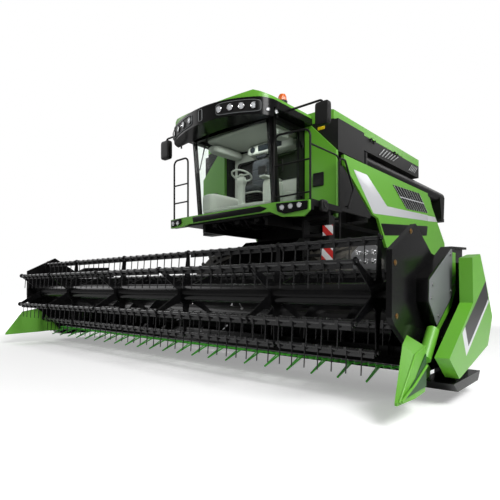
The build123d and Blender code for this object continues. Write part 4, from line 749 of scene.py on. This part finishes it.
def controls():
    """Tapered column with its wheel, and the side console with its stick, screen and red knob."""
    level = np.linspace(0, 1, 30)
    width = 0.052 + 0.03 * bell(level, 0.05, 0.12) + 0.022 * bell(level, 0.88, 0.1)
    made = fixed("steering_column", "pale_moulded", post(width, COLUMN_Y, 2.318, 0.565, 4, 40),
                 pillow((0.385, -1.56, 2.58), (0.085, 0.2, 0.265), 6),
                 pillow((0.385, -1.62, 2.862), (0.08, 0.24, 0.022), 5))
    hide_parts("cab_controls")
    middle, lean, grip = np.array([0, COLUMN_Y, 2.92]), -0.337, 0.0145
    u, t = turns(64)[:, None], turns(40)
    out = 0.17 + grip * np.cos(t)
    rim = sheet(spots(out * np.cos(u), out * np.sin(u), grip * np.sin(t)), (True, True))
    spoke = slab(eased([(0.02, -0.016), (0.165, -0.012), (0.165, 0.012), (0.02, 0.016)], 0.004),
                 -0.006, 0.006, "Z")
    hub = turned([(-0.01, 0.045), (0.008, 0.045), (0.014, 0.03), (0.015, 0.002)], (0, 0, 0), (0, 0, 1))
    tilt = np.array([[1, 0, 0], [0, cos(lean), -sin(lean)], [0, sin(lean), cos(lean)]])
    fixed("steering_wheel", "pale_moulded",
          *[(points @ tilt.T + middle, blocks) for points, blocks in (rim, *both(spoke), hub)])
    stick = turned([(0, 0.02), (0.03, 0.012), (0.09, 0.014), (0.12, 0.024), (0.15, 0.02), (0.155, 0.004)],
                   (0.385, -1.74, 2.875), (0, -0.15, 1))
    screen = slab(eased(rect(0.3, 2.9, 0.47, 3.03), 0.012), -1.86, -1.835, "Y", 0.006)
    fixed("drive_stick", "black_moulded", stick, screen)
    fixed("red_knob", "red_plastic", pillow((0.42, -1.66, 2.895), (0.022, 0.022, 0.018), 3, 10, 16))


def seat():
    """Padded cushion, back and head rest over a ribbed bellows on a pale plinth."""
    cushion = padded("seat_cushion", (0, -1.575, 2.715), (0.235, 0.225, 0.052), 0.022)
    padded("seat_back", (0, -1.395, 3.03), (0.215, 0.048, 0.29), 0.018)
    padded("head_rest", (0, -1.385, 3.405), (0.13, 0.038, 0.07), 0.01)
    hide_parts("driver_seat")
    ribs = 5
    width = 0.17 + 0.014 * np.cos(np.linspace(0, 1, 64) * 2 * pi * ribs)
    fixed("seat_bellows", "black_moulded", post(width, SEAT_Y, 2.45, 0.195, 5, 48))
    fixed("seat_plinth", "pale_moulded", pillow((0, SEAT_Y, 2.385), (0.2, 0.19, 0.07), 8),
          pillow((0, SEAT_Y - 0.01, 2.655), (0.225, 0.215, 0.012), 8))
    fixed("head_rest_posts", "chrome_trim",
          *[turned([(0, 0.006), (0.07, 0.006)], (x, -1.385, 3.3), (0, 0, 1), 10) for x in (-0.05, 0.05)])


class HARVESTER_OT_cab(bpy.types.Operator):
    """Cab lining, overhead console, wheel, side console and the padded seat"""
    bl_idname = "harvester.cab"
    bl_label = "Furnish the cab"

    def execute(self, context):
        lining()
        controls()
        seat()
        return {"FINISHED"}


VOXEL, PRESSURE, CLOTH_FRAMES, GROOVE = 0.006, 4.0, 20, 0.006


def padded(name, middle, half, swell):
    """Cushion: a rounded box remeshed and swollen by cloth pressure, its points kept within swell. Sewn
    channels follow as narrow grooves across its width."""
    pad = fixed(name, "seat_cloth", pillow(middle, half, 5, 26, 52), sharp=80)
    remesh = pad.modifiers.new("remesh", "REMESH")
    remesh.mode, remesh.voxel_size = "VOXEL", VOXEL
    bake(pad)
    start = coordinates(pad.data)
    settings = pad.modifiers.new("cloth", "CLOTH").settings
    settings.use_pressure = True
    settings.uniform_pressure_force = PRESSURE
    settings.effector_weights.gravity = 0.0
    for step in range(1, CLOTH_FRAMES + 1):
        bpy.context.scene.frame_set(step)
    bake(pad)
    bpy.context.scene.frame_set(1)
    moved = coordinates(pad.data) - start
    far = np.linalg.norm(moved, axis=1, keepdims=True)
    kept = start + moved * np.minimum(1, swell / np.maximum(far, 1e-9))
    pad.data.vertices.foreach_set("co", kept.ravel())
    points = coordinates(pad.data)
    tall, flat = (2, 1) if half[2] > half[1] else (1, 2)
    line = (points[:, tall] - middle[tall]) / half[tall]
    channels = sum(bell(line, share, 0.03) for share in (-0.35, 0.3))
    points[:, flat] -= GROOVE * channels * np.sign(points[:, flat] - middle[flat])
    pad.data.vertices.foreach_set("co", points.ravel())
    smooth = pad.modifiers.new("smooth", "SUBSURF")
    smooth.levels = smooth.render_levels = 1
    bake(pad)
    pad.data.shade_smooth()
    return pad


def coordinates(mesh):
    points = np.empty(len(mesh.vertices) * 3)
    mesh.vertices.foreach_get("co", points)
    return points.reshape(-1, 3)


def bake(made):
    """Applies the modifiers of an object to its mesh."""
    graph = bpy.context.evaluated_depsgraph_get()
    mesh = bpy.data.meshes.new_from_object(made.evaluated_get(graph))
    made.modifiers.clear()
    made.data = mesh


def knife():
    """Triangular knife sections on a back strip, one between each pair of guard fingers."""
    pitch, count, bottom = 0.0762, 88, 0.2872
    blade = slab([(-0.036, -3.302), (0.036, -3.302), (0.008, -3.378), (-0.008, -3.378)],
                 bottom, bottom + 0.0033, "Z", 0.001)
    back = slab(rect(-3.36, -3.315, 3.36, -3.286), bottom, bottom + 0.0063, "Z", 0.001)
    places = spots((np.arange(count) - (count - 1) / 2) * pitch, 0.0, 0.0)
    piece("knife_sections", "header", "worn_steel", repeat(blade, places), back)


def fingers():
    """Feed fingers round the middle of the intake auger, turned along its length by a fixed step."""
    auger_y, auger_z, core, reach, step = -2.73, 0.584, 0.186, 0.292, 2.4
    profile = [(0, 0.022), (0.01, 0.02), (0.012, 0.009), (reach - core - 0.004, 0.008),
               (reach - core, 0.004)]
    rods = []
    for k, x in enumerate(np.linspace(-0.84, 0.84, 15)):
        way = (0, cos(k * step), sin(k * step))
        rods.append(turned(profile, (x, auger_y + core * way[1], auger_z + core * way[2]), way, 12))
    piece("auger_fingers", "auger", "worn_steel", *rods)


def couplings():
    """Coupler plate for the header's lines, standing on the back beam, with its round couplings."""
    outline = [(2.28, 1.249), (2.66, 1.249), (2.64, 1.5), (2.56, 1.58), (2.4, 1.58), (2.26, 1.46)]
    face = -2.35
    piece("coupler_plate", "header", "worn_steel", slab(eased(outline, 0.03), face, face + 0.012, "Y"))
    profile = [(0, 0.034), (0.01, 0.036), (0.014, 0.028), (0.034, 0.026), (0.036, 0.014), (0.03, 0.003)]
    piece("couplings", "header", "chrome_trim",
          *[turned(profile, (2.36 + 0.105 * i, face, 1.36 + 0.11 * j), (0, -1, 0), 24)
            for i in range(3) for j in range(2)])


class HARVESTER_OT_header(bpy.types.Operator):
    """End plates and their covers, bolts, painted shade in the divider folds, the divider ribs, knife, auger
    fingers and couplings
    """
    bl_idname = "harvester.header"
    bl_label = "Dress the header"

    def execute(self, context):
        # outlines as (y, z), just inside the CAD plate
        plate = [(-2.83, 1.412), (-3.438, 1.1), (-3.448, 0.912), (-3.238, 0.685), (-2.79, 0.955),
                 (-2.79, 1.412)]
        front = [(-3.47, 1.1), (-3.47, 0.905), (-3.245, 0.655), (-3.232, 0.668), (-3.452, 0.912),
                 (-3.452, 1.1)]
        # dark green triangle on each divider's outer face: painted shade where the fold is recessed
        fold = [(-4.205, 0.222), (-3.8, 0.5), (-3.8, 0.24)]
        plate_x, out = 3.604, (1, 0, 0)
        heads = [(-3.36, 1.06), (-3.208, 0.774), (-2.86, 1.36), (-2.84, 1.0), (-3.39, 0.94)]
        brass = [(3.5, -3.596, 1.522), (3.5, -3.93, 1.235), (3.5, -3.9, 0.8)]
        edge = tube([(3.68, -4.285, 0.2), (3.7, -4.03, 0.522), (3.69, -3.79, 0.562),
                     (3.58, -3.56, 0.482)], 0.009)
        stay = tube([(3.69, -4.27, 0.205), (3.708, -4.05, 0.3), (3.708, -3.8, 0.408)], 0.01)
        for name, material, *shapes in (
                ("end_faces", "grey_satin", slab(eased(plate, 0.012), plate_x - 0.004, plate_x, "X")),
                ("plate_bolts", "worn_steel", bolts([(plate_x, *head) for head in heads], out)),
                ("wall_bolts", "brass_head", bolts(brass, out, 0.018)),
                ("edge_bolts", "worn_steel", bolts([(3.58, -2.66, 1.15), (3.58, -2.66, 1.06)], out, 0.01)),
                ("cover_fronts", "black_gloss", slab(front, 3.5, 3.602, "X")),
                # dark sheet of painted shade in the divider's fold
                ("divider_folds", "deep_green", slab(fold, 3.66, 3.7035, "X")),
                ("divider_ribs", "divider_paint", edge, stay)):
            piece(name, "header", material, *both(*shapes))
        knife()
        fingers()
        couplings()
        return {"FINISHED"}


def wiper():
    """Arm and blade hung from the windscreen's head, over glass that leans with z and bows as x squared: the
    arm arches 22 to 40 mm out from it and the blade lies 10 mm out."""
    def on_glass(x, z, out):
        rise = (z - 2.31) / 1.33
        return spots(x, -2.14 - 0.13 * rise - 0.08 * (1 - (x / 0.848) ** 2) - out, z)
    s, upright = np.linspace(0, 1, 24), (0, 1, 0)
    arm = on_glass(-0.3 - 0.24 * s, 3.62 - 0.34 * s, 0.022 + 0.018 * np.sin(pi * s))
    blade = on_glass(-0.42 - 0.26 * s, 3.52 - 0.46 * s, 0.01)
    pivot = turned([(0, 0.03), (0.026, 0.028), (0.032, 0.014)], on_glass(-0.3, 3.62, 0.0), (0, -1, 0))
    fixed("wiper", "black_satin", tube(arm, 0.009, 10, upright), tube(blade, 0.008, 10, upright),
          pivot)


def wheels(bolt):
    """On each wheel a hub cap in a ring of bolts, and three raised bands round both walls of the tyre, found
    from the boxes of the rim and the tyre."""
    ring = turns(10)
    for end, hand in (("front", "left"), ("front", "right"), ("rear", "left"), ("rear", "right")):
        body = f"{end}_wheel_{hand}"
        rim, tyre = [np.array(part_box(f"{end}_{part}_{hand}")) for part in ("rim", "tyre")]
        middle = rim.mean(axis=0)
        side = float(np.sign(middle[0]))
        out, disc = (side, 0, 0), (side * DISC_X, middle[1], middle[2])
        places = spots(disc[0], disc[1] + 0.12 * np.cos(ring), disc[2] + 0.12 * np.sin(ring))
        cap = turned([(-0.02, 0.058), (0.06, 0.058), (0.072, 0.046), (0.074, 0.004)], disc, out)
        piece(f"{end}_hub_bolts_{hand}", body, "worn_steel", bolts(places, out, bolt), cap)
        half, bead = np.ptp(tyre[:, 0]) / 2, np.ptp(rim[:, 2]) / 2
        tread = np.ptp(tyre[:, 2]) / 2 - 0.045
        bands = []
        for way in (1, -1):
            for share, radius, bulge in ((0.83, bead + 0.03, 0.012), (1.0, (bead + tread) / 2, 0.008),
                                         (0.955, tread - 0.11, 0.008)):
                loop = [(share * half + bulge * cos(a), radius + 1.6 * bulge * sin(a)) for a in ring]
                bands.append(turned(loop, middle, (way, 0, 0), 96, loop=True))
        piece(f"{end}_tyre_bands_{hand}", body, "tyre_tread", *bands)


def under_lines(radius):
    """Straight and sagging steel lines under the platform, in clips."""
    fixed("floor_lines", "black_satin",
          *[tube([(x, y, 2.16) for y in (-2.17, -1.8, -1.2, -0.75)], radius)
            for x in (0.1, 0.14, 0.18, 0.22, -0.3, -0.34)])
    under = []
    for k in range(11):
        x, sag = -0.6 + 0.125 * k, 0.025 * (k % 4)
        path = [(x, -2.19, 2.165), (x + 0.03, -2.08, 2.085 - sag), (x - 0.04, -1.86, 2.06 - sag),
                (x + 0.05, -1.62, 2.11 - sag), (x, -1.42, 2.165)]
        under.append(tube(eased(path, 0.06, closed=False), 0.009 + 0.002 * (k % 3)))
    under += [pillow((x, -2.12, 2.11), (0.055, 0.03, 0.045), 6, 12, 24) for x in (-0.42, 0.1, 0.52)]
    fixed("under_cab_lines", "black_satin", *under)


def tank_auger():
    """Flight of six turns on a shaft in the grain tank: the point at radius r and angle t lies t / 12 pi
    along its length."""
    x, z, shaft, rim = -0.05, 2.56, 0.052, 0.118
    s, radius = np.linspace(0, 1, 220)[:, None], np.array([shaft, rim])
    turn = 2 * pi * 6 * s
    flight = spots(x + radius * np.cos(turn), -0.98 + 2.2 * s, z + radius * np.sin(turn))
    fixed("tank_auger", "worn_steel", sheet(flight),
          turned([(0, 0.045), (2.3, 0.045)], (x, -1.03, z), (0, 1, 0)))


def feeder_lines():
    """Steel lines along both walls of the feeder house, in clips."""
    x = 0.64
    lines = [tube(eased([(x, -2.37, 0.5 + k), (x, -2.05, 0.8 + k), (x, -1.22, 1.46 + k),
                         (x, -0.95, 1.56 + k)], 0.12, closed=False), 0.01)
             for k in (0.0, 0.045, 0.09, 0.135)]
    clips = [pillow((x - 0.004, y, z), (0.016, 0.022, 0.105), 6, 10, 20)
             for y, z in ((-1.9, 0.985), (-1.4, 1.38))]
    piece("feeder_lines", "header", "black_satin", *both(*lines, *clips))


class HARVESTER_OT_trim(bpy.types.Operator):
    """Mirrors, marker boards, steps, wiper, door handle, wheel trim, steel lines and the tank's auger"""
    bl_idname = "harvester.trim"
    bl_label = "Fit the trim"

    def execute(self, context):
        sizes = context.scene.harvester_sizes
        heads = ((1.64, -2.01, 3.51), (-1.38, -2.42, 3.51))
        fixed("mirror_housings", "black_moulded",
              *[pillow(at, (0.112, 0.05, 0.163), 8, 30, 60) for at in heads], sharp=80)
        fixed("mirror_glass", "mirror_face",
              *[slab(eased(rect(x - 0.085, z - 0.135, x + 0.085, z + 0.135), 0.03), y + 0.049, y + 0.053, "Y")
                for x, y, z in heads])
        boards = (rect(1.5, 1.8, 1.67, 1.95), rect(1.46, 1.4, 1.67, 1.62))
        piece("marker_boards", "access_ladder", "marker_face",
              *[slab(board, -1.7925, -1.788, "Y", 0.001) for board in boards])
        rise, top = 0.3, 0.636
        tread = slab(eased(rect(1.162, -1.775, 1.568, -1.625), 0.01), top - 0.006, top, "Z")
        grip = slab(rect(1.18, -1.77, 1.55, -1.76), top, top + 0.006, "Z", 0.001)
        piece("ladder_treads", "access_ladder", "black_moulded",
              repeat(tread, [(0, 0, rise * i) for i in range(5)]),
              repeat(grip, [(0, 0.022 * k, rise * i) for k in range(7) for i in range(5)]))
        wiper()
        handle = eased([(0.902, -2.04, 2.8), (0.95, -2.04, 2.8), (0.95, -2.052, 2.98),
                        (0.902, -2.052, 2.98)], 0.018, closed=False)
        piece("door_handle", "door", "black_moulded", tube(handle, 0.01, upright=(0, 1, 0)))
        fixed("corner_pod", "black_moulded", pillow((1.625, -1.97, 2.205), (0.035, 0.085, 0.085), 5),
              turned([(0, 0.05), (0.012, 0.05), (0.016, 0.044), (0.012, 0.03)], (1.655, -1.97, 2.215),
                     (1, 0, 0)))
        wheels(sizes.wheel_bolt)
        under_lines(sizes.floor_line)
        tank_auger()
        feeder_lines()
        return {"FINISHED"}


def linked(name, data):
    """New object of the data, in the scene."""
    made = bpy.data.objects.new(name, data)
    bpy.context.scene.collection.objects.link(made)
    return made


def studio_lamp(name, place, width, power):
    """Square lamp at a place, facing down."""
    made = linked(name, bpy.data.lights.new(name, "AREA"))
    made.data.energy, made.data.size, made.location = power, width, place
    return made


def floor_material(base):
    """Pale floor that keeps the object's shadow and that the camera sees as white further out: its glow to
    camera rays goes from 0.3 at 5 m from the middle to 1 at 10 m."""
    material = bpy.data.materials.new("studio_floor")
    material.use_nodes = True
    tree = material.node_tree
    tone = ramp(tree, put(tree, "TexNoise", Scale=0.6).outputs["Fac"], To_Min=0.98, To_Max=1.0)
    tint = put(tree, "Mix", {"data_type": "RGBA", "blend_type": "MULTIPLY"}, Factor=1.0, i6=base, i7=tone)
    away = put(tree, "VectorMath", {"operation": "LENGTH"}, i0=object_place(tree)).outputs["Value"]
    far = ramp(tree, away, "SMOOTHSTEP", From_Min=5.0, From_Max=10.0, To_Min=0.3, To_Max=1.0)
    glow = calc(tree, "MULTIPLY", put(tree, "LightPath").outputs["Is Camera Ray"], far)
    wire(tree, tree.nodes["Principled BSDF"], Base_Color=tint.outputs[2], Roughness=0.9,
         Specular_IOR_Level=0.1, Emission_Color=(1.0, 1.0, 1.0), Emission_Strength=glow)
    return material


def surround(scene, strength):
    """White surround: full white to the camera and through glass, softer on the object."""
    scene.world = bpy.data.worlds.new("surround")
    scene.world.use_nodes = True
    tree = scene.world.node_tree
    path = put(tree, "LightPath").outputs
    direct = calc(tree, "MAXIMUM", path["Is Camera Ray"], path["Is Transmission Ray"])
    wire(tree, tree.nodes["Background"], Color=(1.0, 1.0, 1.0),
         Strength=ramp(tree, direct, To_Min=strength, To_Max=1.0))


class HARVESTER_OT_stage(bpy.types.Operator):
    """Camera at the photographed angle, pale floor, soft lamps and a white surround"""
    bl_idname = "harvester.stage"
    bl_label = "Set the stage"

    def execute(self, context):
        scene = context.scene
        stage = scene.harvester_stage
        camera = linked("Camera", bpy.data.cameras.new("Camera"))
        camera.location = (4.94, -7.366, 1.03)
        camera.rotation_euler = (pi / 2, 0.0, radians(41.126))
        camera.data.lens = stage.lens
        camera.data.sensor_width = 36.0
        camera.data.shift_y = 0.0757
        camera.data.clip_end = 200.0
        scene.camera = camera

        half = 60.0
        mesh = bpy.data.meshes.new("floor")
        mesh.from_pydata([(*corner, 0) for corner in rect(-half, -half, half, half)], [], [(0, 1, 2, 3)])
        mesh.materials.append(floor_material(scene.harvester_colours.floor))
        linked("floor", mesh)

        aim = np.array((0.0, -0.5, 1.5))
        for name, place, width, power in (("key", (12.0, -6.0, 11.0), 6.0, stage.key),
                                          ("fill", (-11.0, -6.0, 8.0), 7.0, stage.fill),
                                          ("back", (4.0, 12.0, 10.0), 6.0, stage.fill * 0.7)):
            lamp = studio_lamp(name, place, width, power)
            x, y, z = aim - np.array(place)
            lamp.rotation_euler = (float(np.arctan2(np.hypot(x, y), -z)), 0.0, float(np.arctan2(-x, y)))
        dome = studio_lamp("cab_dome", (0.0, -1.9, 3.54), 0.5, stage.dome)
        dome.visible_camera = dome.visible_glossy = dome.visible_transmission = False
        surround(scene, stage.world)
        scene.view_settings.view_transform = "Standard"
        return {"FINISHED"}


class HARVESTER_PT_panel(bpy.types.Panel):
    bl_idname = "HARVESTER_PT_panel"
    bl_label = "Combine harvester"
    bl_space_type = "VIEW_3D"
    bl_region_type = "UI"
    bl_category = "Harvester"

    def draw(self, context):
        for label in GROUPS:
            group = getattr(context.scene, label)
            for name in group.__annotations__:
                self.layout.prop(group, name)
        for operator in OPERATORS:
            self.layout.operator(operator.bl_idname)


GROUPS = {"harvester_colours": HarvesterColours, "harvester_sizes": HarvesterSizes,
          "harvester_stage": HarvesterStage}
OPERATORS = (HARVESTER_OT_materials, HARVESTER_OT_nodes, HARVESTER_OT_body, HARVESTER_OT_lamps,
             HARVESTER_OT_cab, HARVESTER_OT_header, HARVESTER_OT_trim, HARVESTER_OT_stage)
CLASSES = (*GROUPS.values(), *OPERATORS, HARVESTER_PT_panel)


def register():
    for item in CLASSES:
        bpy.utils.register_class(item)
    for label, group in GROUPS.items():
        setattr(bpy.types.Scene, label, bpy.props.PointerProperty(type=group))


def unregister():
    for label in GROUPS:
        delattr(bpy.types.Scene, label)
    for item in reversed(CLASSES):
        bpy.utils.unregister_class(item)


def main():
    register()
    for operator in OPERATORS:
        group, name = operator.bl_idname.split(".")
        getattr(getattr(bpy.ops, group), name)()


if __name__ == "__main__":
    main()
